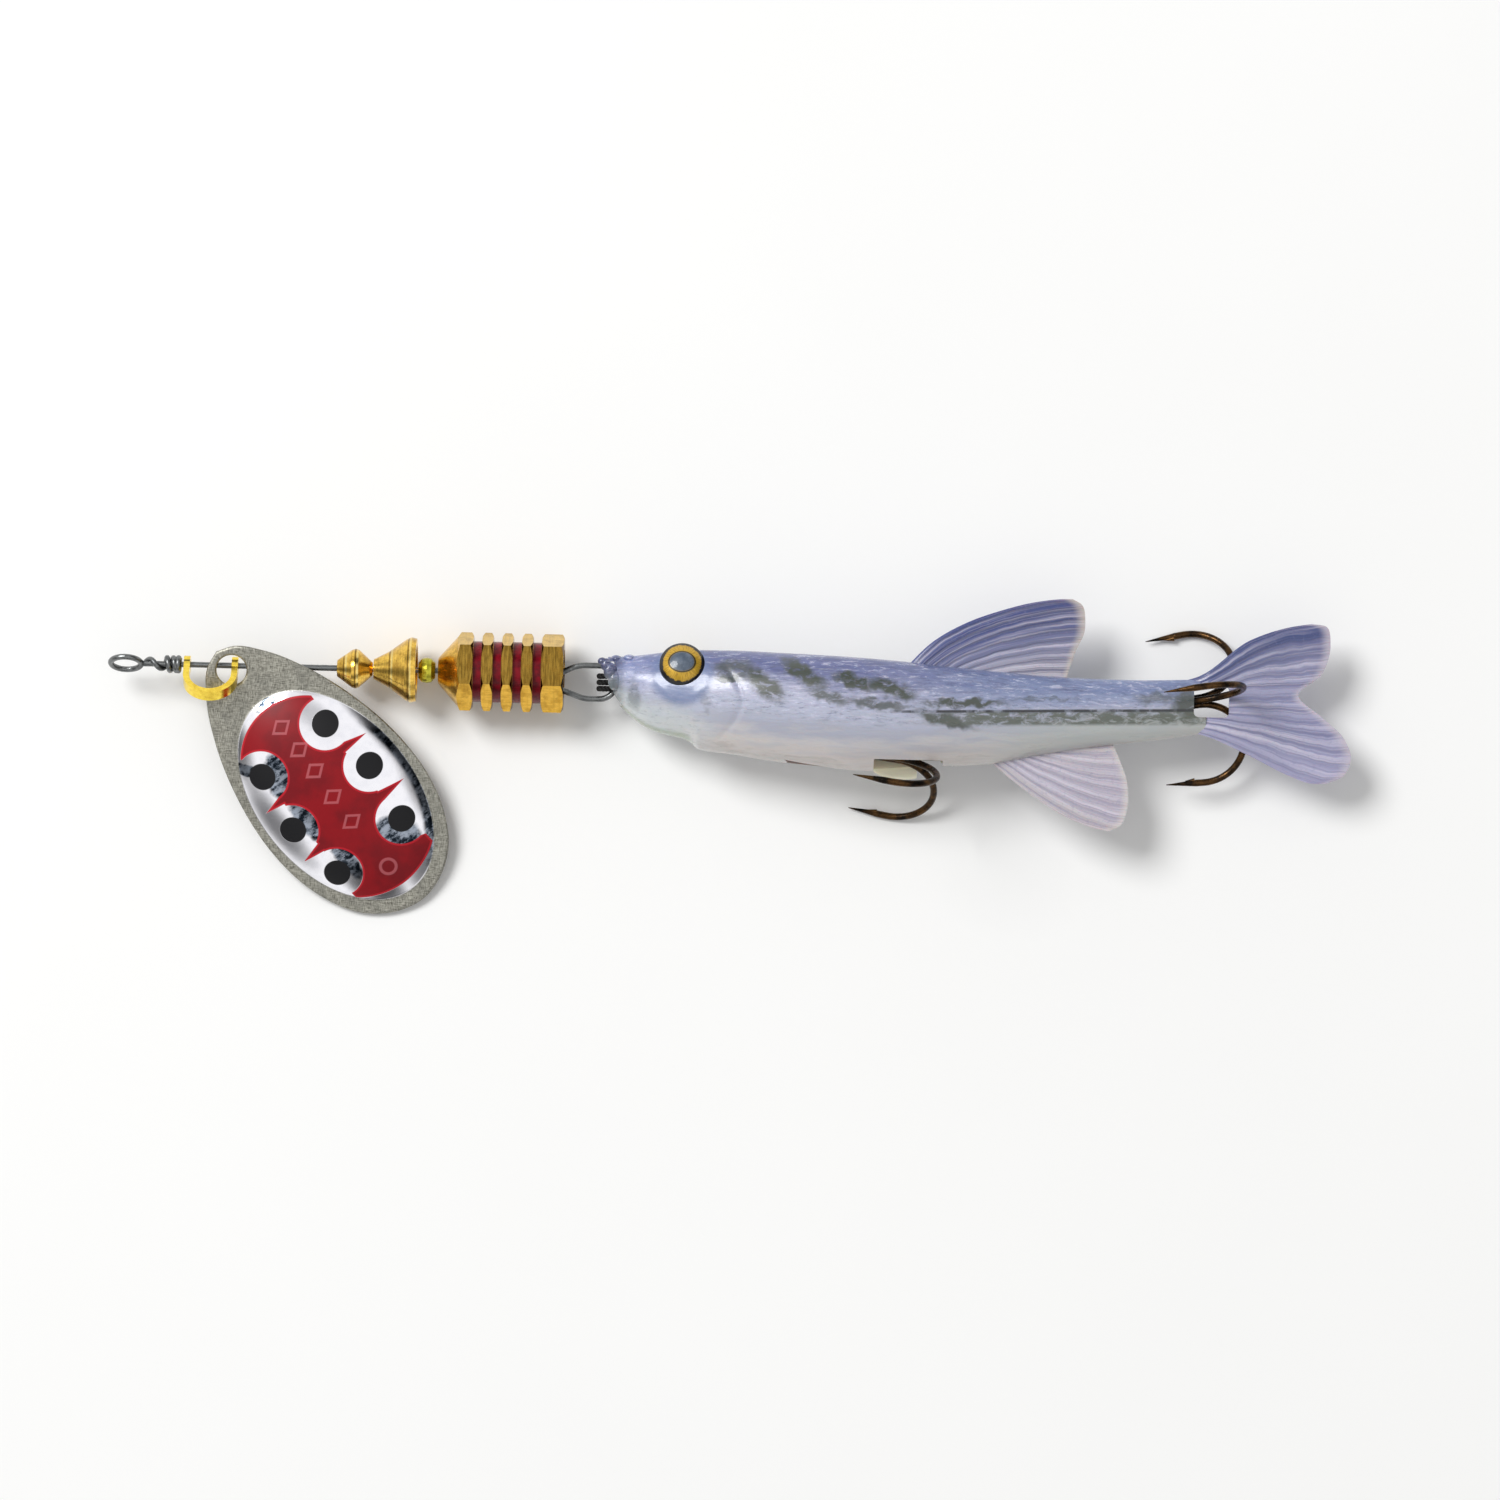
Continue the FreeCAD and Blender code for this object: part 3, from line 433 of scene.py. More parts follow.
def minnow_trunk():
    """The body without fins: rings of a rounded section, with the moulded detail pressed into them."""
    front, rear = GIRTH[0][0], GIRTH[-1][0]
    stations = front + (rear - front) * np.linspace(0, 1, 230) ** 1.12
    around = 112
    angle = turn_of(around)
    rows = []
    for x in stations:
        top, bottom, half, middle = back_of(x), belly_of(x), half_of(x), middle_of(x)
        across, up = np.cos(angle), np.sin(angle)
        # a little fuller in the flank than an ellipse
        across = np.sign(across) * np.abs(across) ** 0.94
        up = np.sign(up) * np.abs(up) ** 0.97
        y = (top + bottom) / 2 + up * (top - bottom) / 2
        inward = np.zeros(around)
        # gill cover: a shallow curved groove behind the eye
        gill = 57.3 + 1.9 * np.cos((y + 2.2) / 5.2 * math.pi / 1.35)
        inside = np.clip((y + 6.4) / 0.8, 0, 1) * np.clip((1.6 - y) / 0.8, 0, 1)
        inward += 0.13 * np.exp(-((x - gill) / 0.22) ** 2) * inside
        # jaw line from the corner of the mouth
        jaw = -2.5 - 0.46 * (x - 47.2)
        inside = np.clip(54.5 - x, 0, 1) * np.clip((x - 46.9) / 0.6, 0, 1)
        inward += 0.09 * np.exp(-((y - jaw) / 0.2) ** 2) * inside
        # lateral line along the rear half
        line = -2.9 + 0.029 * (x - 73.7)
        inward += 0.07 * np.exp(-((y - line) / 0.16) ** 2) * np.clip((x - 72.0) / 4.0, 0, 1)
        # the rim around the eye
        ring = np.hypot(x - EYE_PLACE[0], y - EYE_PLACE[1])
        inward -= 0.03 * np.exp(-((ring - 2.5) / 0.3) ** 2)
        z = middle + across * (half - inward * np.abs(np.cos(angle)))
        rows.append(np.stack([np.full(around, x), y, z], axis=1))
    vertices = np.concatenate(rows)
    faces = ring_faces(len(stations), around)
    end = (len(stations) - 1) * around
    faces += [tuple(range(around))[::-1], tuple(end + n for n in range(around))]
    return mesh_object("minnow_skin", vertices, faces)


def fin_mesh(name, lead, trail, base, root, rays, thick, middle_z, slot, wave):
    """A moulded fin: rays fan from the root line to the trailing edge, and it thins towards its edges."""
    across, along = 10 * rays, 70
    leading, lower = catmull(lead, along), catmull(base, along)
    trailing, first = catmull(trail, across), catmull(root, across)
    u, v = np.meshgrid(np.linspace(0, 1, across), np.linspace(0, 1, along), indexing="ij")
    u3, v3 = u[..., None], v[..., None]
    corners = ((1 - u3) * (1 - v3) * leading[0] + (1 - u3) * v3 * leading[-1]
               + u3 * (1 - v3) * lower[0] + u3 * v3 * lower[-1])
    flat = ((1 - u3) * leading[None] + u3 * lower[None] + (1 - v3) * first[:, None] + v3 * trailing[:, None]
            - corners)
    # distance in millimetres from each free edge decides how thin the fin is
    size_u = np.linalg.norm(flat[-1, :, :] - flat[0, :, :], axis=1)[None, :]
    edges = np.stack([u * size_u, (1 - v) * 16.0] + ([(1 - u) * size_u] if slot == TAIL_SLOT else []))
    near = np.clip(edges.min(0) / 0.9, 0, 1)
    ridge = 0.5 + 0.5 * np.cos(2 * math.pi * rays * u)
    body = thick[1] + (thick[0] - thick[1]) * (1 - v) ** 1.6
    raised = 0.05 * ridge * np.sin(math.pi * np.clip(v * 1.05, 0, 1)) ** 0.6
    half = (body + raised) * (0.35 + 0.65 * np.sqrt(near))
    middle = middle_z(flat[..., 0]) + wave * np.sin(2 * math.pi * (u * 1.7 + 0.2)) * v**2
    top = np.concatenate([flat, (middle + half)[..., None]], axis=2).reshape(-1, 3)
    low = np.concatenate([flat, (middle - half)[..., None]], axis=2).reshape(-1, 3)
    faces, n = [], across * along
    for i in range(across - 1):
        for j in range(along - 1):
            a, b, c, d = i * along + j, (i + 1) * along + j, (i + 1) * along + j + 1, i * along + j + 1
            faces += [(a, b, c, d), (d + n, c + n, b + n, a + n)]
    rim = [*range(0, n, along), *range(n - along + 1, n)]
    rim += [*range(n - along - 1, 0, -along), *range(along - 2, 0, -1)]
    faces += [(a, a + n, b + n, b) for a, b in zip(rim, rim[1:] + rim[:1])]
    made = mesh_object(name, np.concatenate([top, low]), faces)
    layer = made.data.uv_layers.new(name="fan")
    flat_u, flat_v = np.tile(u.ravel(), 2), np.tile(v.ravel(), 2)
    for loop in made.data.loops:
        layer.data[loop.index].uv = (flat_u[loop.vertex_index], flat_v[loop.vertex_index])
    for face in made.data.polygons:
        face.material_index = slot
    return made


def hook_frame(shank_end, eye, angle):
    """The prong's own frame: X along the shank towards the bend, Z out to the prong."""
    run = (shank_end - eye).normalized()
    side = Vector((0, 0, 1)).cross(run).normalized()
    up = run.cross(side)
    turn = math.radians(angle)
    out = side * math.cos(turn) - up * math.sin(turn)
    across = out.cross(run)
    return Matrix(((run.x, across.x, out.x, shank_end.x), (run.y, across.y, out.y, shank_end.y),
                   (run.z, across.z, out.z, shank_end.z), (0, 0, 0, 1)))


def minnow():
    trunk = minnow_trunk()
    for finish in (skin_material(), *[fin_material(*row) for row in FIN_FINISHES]):
        trunk.data.materials.append(finish)

    def rear_z(x):
        return 3.5 - 0.0517 * (x - 74.0)

    def tail_z(x):
        lift = 0.42 * np.clip((x - 102.2) / 1.6, 0, 1) * np.clip((111.5 - x) / 5.0, 0, 1)
        return rear_z(x) + lift

    fins = [
        fin_mesh("dorsal",
                 [(74.6, 1.2), (77.4, 3.95), (80.5, 5.78), (83.7, 7.0), (86.9, 7.88), (89.6, 8.26),
                  (90.6, 8.3)],
                 [(90.6, 8.3), (91.55, 7.7), (91.85, 6.3), (91.8, 5.2), (91.0, 3.3), (90.0, 0.0)],
                 [(82.0, 0.2), (86.0, 0.1), (90.0, 0.0)], [(74.6, 1.2), (78.0, 0.7), (82.0, 0.2)],
                 DORSAL_RAYS, (0.62, 0.15), rear_z, 1, 0.05),
        fin_mesh("anal", [(82.6, -7.1), (87.4, -10.75), (90.6, -12.62), (93.4, -13.62), (94.6, -13.84)],
                 [(94.6, -13.84), (95.75, -13.2), (96.3, -11.7), (96.25, -9.2), (95.4, -6.8), (94.5, -4.9)],
                 [(86.5, -5.6), (90.5, -5.3), (94.5, -4.9)], [(82.6, -7.1), (84.4, -6.4), (86.5, -5.6)],
                 ANAL_RAYS, (0.55, 0.15), rear_z, 2, 0.05),
        fin_mesh("tail", [(100.6, 0.55), (102.6, 1.1), (107.8, 4.82), (111.2, 6.05), (113.6, 6.5)],
                 [(113.6, 6.5), (115.1, 6.2), (115.45, 4.6), (114.7, 1.7), (112.5, -0.35), (114.9, -2.5),
                  (117.0, -4.5), (117.7, -6.3), (117.0, -8.0), (115.4, -8.78)],
                 [(101.0, -4.0), (103.4, -4.45), (107.6, -6.15), (112.0, -8.2), (113.8, -8.8),
                  (115.4, -8.78)],
                 [(100.6, 0.55), (100.8, -1.7), (101.0, -4.0)],
                 TAIL_RAYS, (0.66, 0.16), tail_z, TAIL_SLOT, 0.06)]
    for fin in fins:
        boolean(trunk, fin, "UNION")

    lumps = [ellipsoid("far_lip", (74.6, -8.0, 1.0), (3.0, 1.4, 0.9)),
             ellipsoid("near_lip_tip", (45.72, 1.28, 1.6), (0.42, 0.36, 0.36)),
             ellipsoid("near_lip_top", (46.1, 0.95, 1.6), (0.5, 0.62, 0.37)),
             ellipsoid("near_lip_middle", (46.5, 0.35, 1.6), (0.62, 0.85, 0.38)),
             ellipsoid("near_lip_low", (46.95, -0.55, 1.6), (0.62, 0.95, 0.38)),
             ellipsoid("lip_middle", (47.05, 1.5, 0.3), (0.55, 0.42, 0.8)),
             ellipsoid("lip_rear", (48.3, 1.62, 0.6), (0.6, 0.38, 0.9))]
    for lump in lumps:
        boolean(trunk, lump, "UNION")

    still = Matrix.Identity(4)
    third = hook_frame(BELLY_SHANK_END, BELLY_EYE, 13.3)
    length = (BELLY_SHANK_END - BELLY_EYE).length
    tail = hook_frame(TAIL_SHANK_END, TAIL_EYE, 0)
    run = (TAIL_SHANK_END - TAIL_EYE).length
    deep = -1.0 - 0.27 * (length + 5.4)
    hollows = [
        box_at("lips", still, (43.0, -8.0, -4.0), (46.25, 3.0, 1.2), 0.3),
        box_at("lips_inside", still, (45.0, -2.95, -1.3), (46.95, 1.28, 1.3), 0.25),
        box_at("mouth", still, (45.0, -2.95, -1.15), (49.5, 1.14, 1.15), 0.25),
        prism_at("shank_slot", third,
                 [(-length - 0.2, 1.2), (-length - 0.2, -1.0), (5.4, deep), (5.4, 1.2)], 0.95),
        box_at("prong_slot", third, (-5.4, -0.6, -3.0), (5.0, 0.6, 9.0), 0.2),
        box_at("belly_window", still, (71.9, -12.0, 2.15), (78.5, -7.45, 12.0), 0.12),
        box_at("far_notch", still, (76.1, -12.0, -8.0), (78.4, -7.5, 2.6), 0.12),
        box_at("eye_room", third, (-length - 2.55, -1.5, -1.3), (-length + 1.6, 1.5, 1.7)),
        box_at("tail_eye_room", tail, (-run - 2.6, -1.45, -1.6), (-run + 1.6, 1.5, 1.55)),
        box_at("tail_slot", tail, (-run, -0.9, -1.4), (0.5, 0.9, 1.3), 0.15),
        box_at("tail_window", still, (102.4, -2.7, -1.0), (105.8, 0.3, 6.0), 0.45)]
    for name, side in (("left_socket", 1), ("right_socket", -1)):
        turn = Matrix.Rotation(math.radians(-EYE_TURN if side > 0 else 180 + EYE_TURN), 4, "X")
        socket = Matrix.Translation((*EYE_PLACE, EYE_HEIGHT)) @ turn @ Matrix.Translation((0, 0, 1.55))
        hollows.append(round_at(name, socket, 2.17, 6.0))
    for tool in hollows:
        boolean(trunk, tool, "DIFFERENCE")
    for face in trunk.data.polygons:
        face.use_smooth = True
    trunk.data.set_sharp_from_angle(angle=math.radians(38))
    return trunk


def height_curve(t, x, points, low, high):
    """A profile of the fish as a node: its height at x."""
    first, last = points[0][0], points[-1][0]
    made = t.add("FloatCurve")
    t.set(made.inputs["Value"], t.ramp(x, first, last, smooth=False))
    curve = made.mapping.curves[0]
    while len(curve.points) < len(points):
        curve.points.new(0.5, 0.5)
    for point, (place, value) in zip(curve.points, points):
        point.location = ((place - first) / (last - first), (value - low) / (high - low))
    made.mapping.update()
    return t.ramp(made.outputs[0], 0, 1, low, high, smooth=False)


# the sprayed colours from the belly (0) to the back (1)
SPRAY = [(0.0, (186, 180, 176)), (0.10, (204, 197, 194)), (0.22, (190, 188, 192)), (0.34, (170, 172, 186)),
         (0.5, (174, 178, 198)), (0.64, (168, 170, 194)), (0.78, (132, 136, 168)), (0.9, (98, 104, 148)),
         (1.0, (80, 88, 136))]
# olive blotches along the flank: place on X and Y, half length, half width, turn in degrees, strength
BLOTCHES = [(58.3, 0.75, 1.9, 1.0, 0, 0.8), (61.3, -0.6, 2.2, 0.95, -38, 1.0),
            (65.0, 0.55, 2.4, 0.75, -30, 1.0), (67.4, -1.55, 2.0, 0.6, -18, 0.85),
            (69.8, -0.15, 2.0, 0.65, -20, 1.0), (73.3, -0.75, 2.4, 0.75, -16, 1.0),
            (72.0, -2.2, 2.9, 0.42, -4, 0.85), (80.3, -1.95, 3.9, 0.38, 1, 1.0),
            (78.6, -3.55, 2.8, 0.62, -14, 0.95), (88.0, -1.5, 3.0, 0.2, 3, 0.5),
            (102.0, -1.6, 1.6, 1.5, 0, 0.95), (99.0, -1.0, 2.2, 0.6, 4, 0.6),
            (55.6, -1.9, 0.5, 1.4, 12, 0.35), (48.9, -1.8, 0.7, 1.4, 8, 0.45)]


def skin_material():
    """Glossy soft vinyl, sprayed from a lavender back to a pearly belly, with olive blotches."""
    t = Tree("minnow_vinyl", Roughness=0.3, Coat_Weight=0.55, Coat_Roughness=0.12, IOR=1.46,
             Subsurface_Weight=0.12, Subsurface_Scale=0.0012, Sheen_Weight=0.08)
    p = t.place()
    x, y, z = t.split(p)
    top = height_curve(t, x, BACK, -9, 3)
    bottom = height_curve(t, x, BELLY, -9, 3)
    streaks = t.noise(p, 0.9, 6, 0.62, (0.22, 1.6, 1.0), 0.3)
    mottle = t.noise(p, 1.5, 6, 0.65, (0.45, 1.0, 0.8), 0.6)
    height = t.math("DIVIDE", t.minus(y, bottom), t.minus(top, bottom))
    uneven = t.plus(height, t.ramp(streaks, 0.3, 0.7, -0.07, 0.07))
    spray = t.add("ValToRGB", uneven)
    ramp = spray.color_ramp
    while len(ramp.elements) < len(SPRAY):
        ramp.elements.new(0.5)
    for element, (place, tone) in zip(ramp.elements, SPRAY):
        element.position = place
        element.color = (*srgb(*tone), 1)
    t.colour = spray.outputs[0]
    # the rear flank turns grey green below the line
    rear = t.times(t.ramp(x, 78, 92), t.band(height, 0.0, 0.42, 0.08))
    t.lay((178, 184, 182), rear, 0.75)
    steel = t.times(t.ramp(x, 70, 88), t.ramp(height, 0.5, 0.7))
    t.lay((124, 140, 176), steel, 0.6)
    # head: blue above, clear green white along the jaw
    head = t.ramp(x, 46, 55, 1, 0)
    t.lay((132, 144, 190), t.times(head, t.ramp(height, 0.35, 0.8)), 0.7)
    jaw = t.times(t.ramp(x, 52, 58, 1, 0), t.ramp(height, 0.15, 0.5, 1, 0))
    t.lay((206, 216, 218), jaw, 0.65)
    keel = t.times(t.ramp(x, 54.0, 54.8, 1, 0), t.ramp(height, 0.03, 0.09, 1, 0))
    t.lay((160, 172, 150), keel, 0.8)
    # pearl streaks
    pearl = t.ramp(t.noise(p, 1.0, 5, 0.7, (0.16, 2.6, 1.0), 0.2), 0.56, 0.72)
    t.lay((226, 226, 244), t.times(pearl, t.times(t.band(height, 0.5, 0.93, 0.05), 0.75)))
    shade = t.ramp(t.noise(p, 1.3, 5, 0.7, (0.14, 2.2, 1.0), 0.2), 0.5, 0.7)
    t.lay((86, 90, 122), t.times(shade, t.times(t.ramp(height, 0.55, 0.8), 0.55)))
    # small flecks and scratches of light and shade all over the flank
    fleck = t.noise(p, 2.6, 6, 0.75, (0.3, 1.3, 1.0), 0.5)
    flank = t.most(t.band(height, 0.42, 1.2, 0.08), t.ramp(x, 54, 58, 0.45, 0.0))
    t.lay((74, 80, 108), t.times(t.ramp(fleck, 0.52, 0.66), t.times(flank, 0.55)))
    t.lay((214, 214, 232), t.times(t.ramp(fleck, 0.46, 0.36), t.times(flank, 0.5)))
    # olive blotches, broken up by the mottle
    moved = t.warped(p, 0.9, 1.5)
    dark = None
    for px, py, rx, ry, angle, strength in BLOTCHES:
        spot = t.times(t.spot(moved, px, py, rx, ry, angle, 0.45), strength)
        dark = t.most(dark, spot)
    dark = t.times(dark, t.ramp(mottle, 0.32, 0.5, 0.3, 1.0))
    t.lay((66, 72, 66), dark)
    # the dark line and the mottled band under it
    line = t.plus(t.times(t.minus(x, 73.7), 0.029), -2.9)
    over = t.minus(y, line)
    begins = t.ramp(x, 75, 82)
    band = t.times(t.band(over, -1.35, 0.0, 0.22), begins)
    band = t.times(band, t.ramp(t.noise(p, 1.6, 5, 0.7, (0.5, 1.1, 0.8), 0.5), 0.34, 0.56, 0.25, 1))
    t.lay((86, 92, 82), band, 0.95)
    sharp = t.times(t.band(over, -0.13, 0.13, 0.07), t.ramp(x, 71.5, 76))
    sharp = t.times(sharp, t.ramp(t.noise(p, 0.8, 4, 0.6, (0.6, 0.3, 0.3)), 0.38, 0.5, 0.25, 1))
    t.lay((26, 28, 34), sharp, 0.95)
    # around the eye, the gill mark and the lips
    ring = t.spot(p, EYE_PLACE[0], EYE_PLACE[1] - 0.25, 2.95, 2.85, 0, 0.18)
    t.lay((96, 114, 156), ring, 0.75)
    mark = t.spot(moved, 57.6, -0.2, 1.1, 0.28, 0, 0.35)
    t.lay((44, 54, 50), mark, 0.85)
    lips = t.times(t.ramp(x, 46.8, 48.3, 1, 0), t.ramp(mottle, 0.35, 0.55, 0.4, 1.0))
    indigo = t.mix(t.ramp(y, -0.6, 0.6), srgb(66, 78, 82), srgb(40, 44, 80))
    t.lay(indigo, lips, 0.85)
    # inside the cuts the vinyl is a plain cream
    within = t.times(t.band(x, 71.2, 79.4, 0.1), t.ramp(z, 2.2, 2.4, 1, 0))
    within = t.times(within, t.ramp(y, -7.6, -7.4, 1, 0))
    t.lay((238, 234, 204), within, 0.95)
    t.out("Base Color", t.colour)
    t.out("Roughness", t.ramp(streaks, 0.3, 0.7, 0.24, 0.42))
    fine = t.noise(p, 5.0, 3, 0.6, (0.5, 1.0, 1.0))
    t.bump(t.plus(t.times(streaks, 1.4), t.times(fine, 0.35)), 0.35, 0.10)
    return t.material


# name, leading edge, middle, far side, edge, between the rays, rays, how far the leading colour reaches
FIN_FINISHES = [
    ("dorsal_vinyl", (60, 70, 124), (140, 142, 172), (196, 190, 196), (204, 198, 190), (62, 68, 104),
     DORSAL_RAYS, 0.42),
    ("anal_vinyl", (196, 190, 194), (190, 184, 198), (204, 198, 200), (214, 210, 208), (152, 146, 168),
     ANAL_RAYS, 0.15),
    ("tail_vinyl", (58, 70, 120), (158, 158, 188), (172, 170, 200), (196, 192, 204), (92, 96, 140),
     TAIL_RAYS, 0.2)]


def fin_material(name, lead, middle, far, edge, valley, count, reach):
    """Thin pearly vinyl with rays that fan out, dark along the leading edge."""
    t = Tree(name, Coat_Weight=0.4, Coat_Roughness=0.15, IOR=1.46,
             Subsurface_Weight=0.15, Subsurface_Scale=0.001)
    u, v = t.split(t.add("UVMap", uv_map="fan").outputs[0])[:2]
    p = t.place()
    wobble = t.ramp(t.noise(p, 0.35, 2, 0.5), 0.3, 0.7, -0.008, 0.008)
    u = t.plus(u, wobble)
    wave = t.math("PINGPONG", t.times(u, count), 0.5)
    fork = t.math("PINGPONG", t.times(u, count * 2), 0.5)
    groove = t.most(t.ramp(wave, 0.28, 0.46), t.times(t.ramp(fork, 0.3, 0.48), t.ramp(v, 0.35, 0.75, 0, 0.7)))
    strokes = t.add("CombineXYZ", u, v, 0.0).outputs[0]
    rays = t.noise(strokes, 7.0, 3, 0.6, (3.2, 0.1, 1.0))
    fine = t.noise(strokes, 20.0, 3, 0.6, (3.2, 0.08, 1.0))
    groove = t.times(groove, t.ramp(rays, 0.3, 0.6, 0.35, 1.0))
    t.colour = t.mix(t.ramp(u, reach * 0.4, reach * 1.7), srgb(*lead), srgb(*middle))
    t.lay(far, t.ramp(u, 0.45, 1.0, 0.0, 0.85))
    t.lay((226, 220, 234), t.ramp(rays, 0.42, 0.66, 0.0, 0.5))
    t.lay(valley, t.ramp(fine, 0.5, 0.68, 0.0, 0.3))
    t.lay(valley, groove, 0.7)
    t.lay((120, 122, 160), t.ramp(t.noise(p, 3.0, 4, 0.6), 0.5, 0.75, 0, 0.3))
    t.lay(edge, t.ramp(v, 0.93, 1.0), 0.8)
    t.out("Base Color", t.colour)
    t.out("Roughness", t.ramp(rays, 0.3, 0.7, 0.28, 0.46))
    t.bump(t.minus(t.times(rays, 0.5), groove), 0.5, 0.12)
    return t.material


def eye_material(name, side):
    """Painted eye under a clear dome: slate pupil, gold iris and a black rim that is painted shade for the
    socket's shadow.
    """
    t = Tree(name, Roughness=0.3, Coat_Weight=0.45, Coat_Roughness=0.05, IOR=1.4)
    p = t.place()
    tilt = math.radians(EYE_TURN)
    axis = Vector((0, math.sin(tilt), side * math.cos(tilt)))
    right = Vector((1, 0, 0))
    up = axis.cross(right)
    offset = t.vector("SUBTRACT", p, (*EYE_PLACE, EYE_HEIGHT))
    a, b = t.dot(offset, right), t.dot(offset, up)
    radius = t.hypot(a, b)
    uneven = t.plus(radius, t.ramp(t.noise(p, 2.2, 4, 0.6), 0.3, 0.7, -0.06, 0.06))
    angle = t.math("ARCTAN2", b, a)
    fan = t.add("CombineXYZ", t.times(angle, 4.0), radius, 0.0).outputs[0]
    fibres = t.noise(fan, 3.0, 3, 0.6, (1.6, 0.6, 1))
    gold = t.mix(t.ramp(fibres, 0.35, 0.7), srgb(208, 166, 48), srgb(158, 120, 28))
    pupil = t.mix(t.ramp(t.noise(p, 1.6, 3, 0.6), 0.35, 0.7), srgb(72, 84, 100), srgb(96, 108, 124))
    oval = t.hypot(t.math("DIVIDE", a, 1.2), t.math("DIVIDE", b, 0.98))
    # painted shade: the black rim outside the iris stands for the shadow of the socket
    t.colour = t.mix(t.ramp(uneven, 1.78, 1.9), gold, srgb(12, 12, 12))
    t.lay((40, 42, 30), t.band(oval, 0.98, 1.12, 0.05))
    t.lay(pupil, t.ramp(oval, 0.95, 1.0, 1, 0))
    t.out("Base Color", t.colour)
    t.out("Metallic", t.times(t.band(radius, 1.1, 1.85, 0.05), 0.35))
    t.bump(t.times(fibres, t.ramp(radius, 1.75, 1.85, 1, 0)), 0.2, 0.05)
    return t.material


# --- the blade ---
BLADE_FRAME = (Matrix.Translation((0, 0, 0.7)) @ Matrix.Rotation(math.radians(9.5), 4, "X")
               @ Matrix.Translation((10.19, -0.42, 0)) @ Matrix.Rotation(math.radians(-49.4), 4, "Z"))
# half width of the blade along its length, its hole, and the oval dome
BLADE_SHAPE = [(-2.3, 0.0), (-1.656, 1.615), (0.6, 3.655), (4.6, 5.8225), (9.9, 7.565), (15.6, 8.3725),
               (19.8, 8.1175), (23.4, 7.055), (26.3, 5.27), (28.1, 2.805), (28.8, 0.0)]
HOLE_RADIUS, HALF_SHEET = 1.45, 0.25
DOME_MIDDLE, DOME_LENGTH, DOME_WIDTH, DOME_HEIGHT, DOME_SINK = 15.7, 11.7, 7.6, 2.2, 3.4
SPOT_RADIUS, CLEARANCE = 1.29, 2.48
# spots of the print, in the blade's frame: along and across
DOTS = [(9.57, 3.84), (15.35, 4.57), (21.29, 3.65), (9.75, -4.17), (15.56, -5.17), (21.5, -4.59)]
# spikes of the red spine between the spots: foot along, tip along, tip across
SPIKES = [(12.46, 12.78, 6.25), (18.32, 18.46, 6.25), (12.65, 12.75, -6.25), (18.53, 18.68, -6.5)]

# painted reflections: slate patches on the polished dome that stand for dark surroundings mirrored in it:
# along, across, half length, half width and turn
DOME_REFLECTIONS = [(10.6, -2.8, 2.3, 1.35, -30), (15.8, -3.3, 2.5, 1.2, 0), (21.2, -3.0, 2.1, 0.9, 0),
           (22.2, 2.5, 2.3, 1.5, 25), (4.6, 0.6, 0.55, 1.3, 0), (8.2, -5.2, 1.2, 0.6, 40)]
# small plain lozenges down the spine: along and across
LOZENGES = [(7.2, 0.3), (9.9, 0.35), (12.4, 0.25), (15.4, 0.0), (18.4, -0.15)]


def blade_lift(u, v):
    """Height of the sheet's middle above the rim: the dome, with a tight pressed step around it."""
    tall = DOME_SINK + DOME_HEIGHT
    spread = 1 / math.sqrt(1 - (DOME_SINK / tall) ** 2)
    inside = 1 - ((u - DOME_MIDDLE) / (DOME_LENGTH * spread)) ** 2 - (v / (DOME_WIDTH * spread)) ** 2
    height = tall * np.sqrt(np.clip(inside, 0, None)) - DOME_SINK
    return np.where(height > 0, height, 0)


def blade_mesh():
    """The pressed sheet: rings from its hole to its outline, with a rolled edge, in two skins."""
    outline = catmull(BLADE_SHAPE + [(x, -w) for x, w in BLADE_SHAPE[-2:0:-1]] + [BLADE_SHAPE[0]], 721)[:-1]
    outline = resample_by_angle(outline, 720)
    angle = turn_of(720)
    hole = HOLE_RADIUS * np.stack([np.cos(angle), np.sin(angle)], axis=1)
    shares = np.linspace(0, 1, 150)
    flat = hole[None] + (outline - hole)[None] * shares[:, None, None]
    lift = blade_lift(flat[..., 0], flat[..., 1])
    gap = np.minimum(np.linalg.norm(flat - outline[None], axis=2), np.linalg.norm(flat - hole[None], axis=2))
    half = HALF_SHEET * np.sqrt(1 - np.clip(1 - gap / HALF_SHEET, 0, 1) ** 2 * 0.75)
    rows = np.concatenate([np.concatenate([flat, (lift + half)[..., None]], axis=2),
                           np.concatenate([flat, (lift - half)[..., None]], axis=2)[::-1]])
    vertices = rows.reshape(-1, 3)
    count, around = rows.shape[:2]
    faces = ring_faces(count, around)
    faces += [((count - 1) * around + c, (count - 1) * around + (c + 1) % around, (c + 1) % around, c)
              for c in range(around)]
    turn = np.array(BLADE_FRAME)
    vertices = vertices @ turn[:3, :3].T + turn[:3, 3]
    made = mesh_object("blade_sheet", vertices, faces)
    made.data.set_sharp_from_angle(angle=math.radians(32))
    return made


def resample_by_angle(outline, count):
    """The outline's points at even steps of angle about the hole, starting on +X."""
    angle = np.unwrap(np.arctan2(outline[:, 1], outline[:, 0]))
    if angle[-1] < angle[0]:
        outline, angle = outline[::-1], angle[::-1]
    reach = np.linalg.norm(outline, axis=1)
    want = turn_of(count)
    order = np.argsort(np.mod(angle, 2 * math.pi))
    found = np.interp(want, np.mod(angle, 2 * math.pi)[order], reach[order], period=2 * math.pi)
    return np.stack([found * np.cos(want), found * np.sin(want)], axis=1)


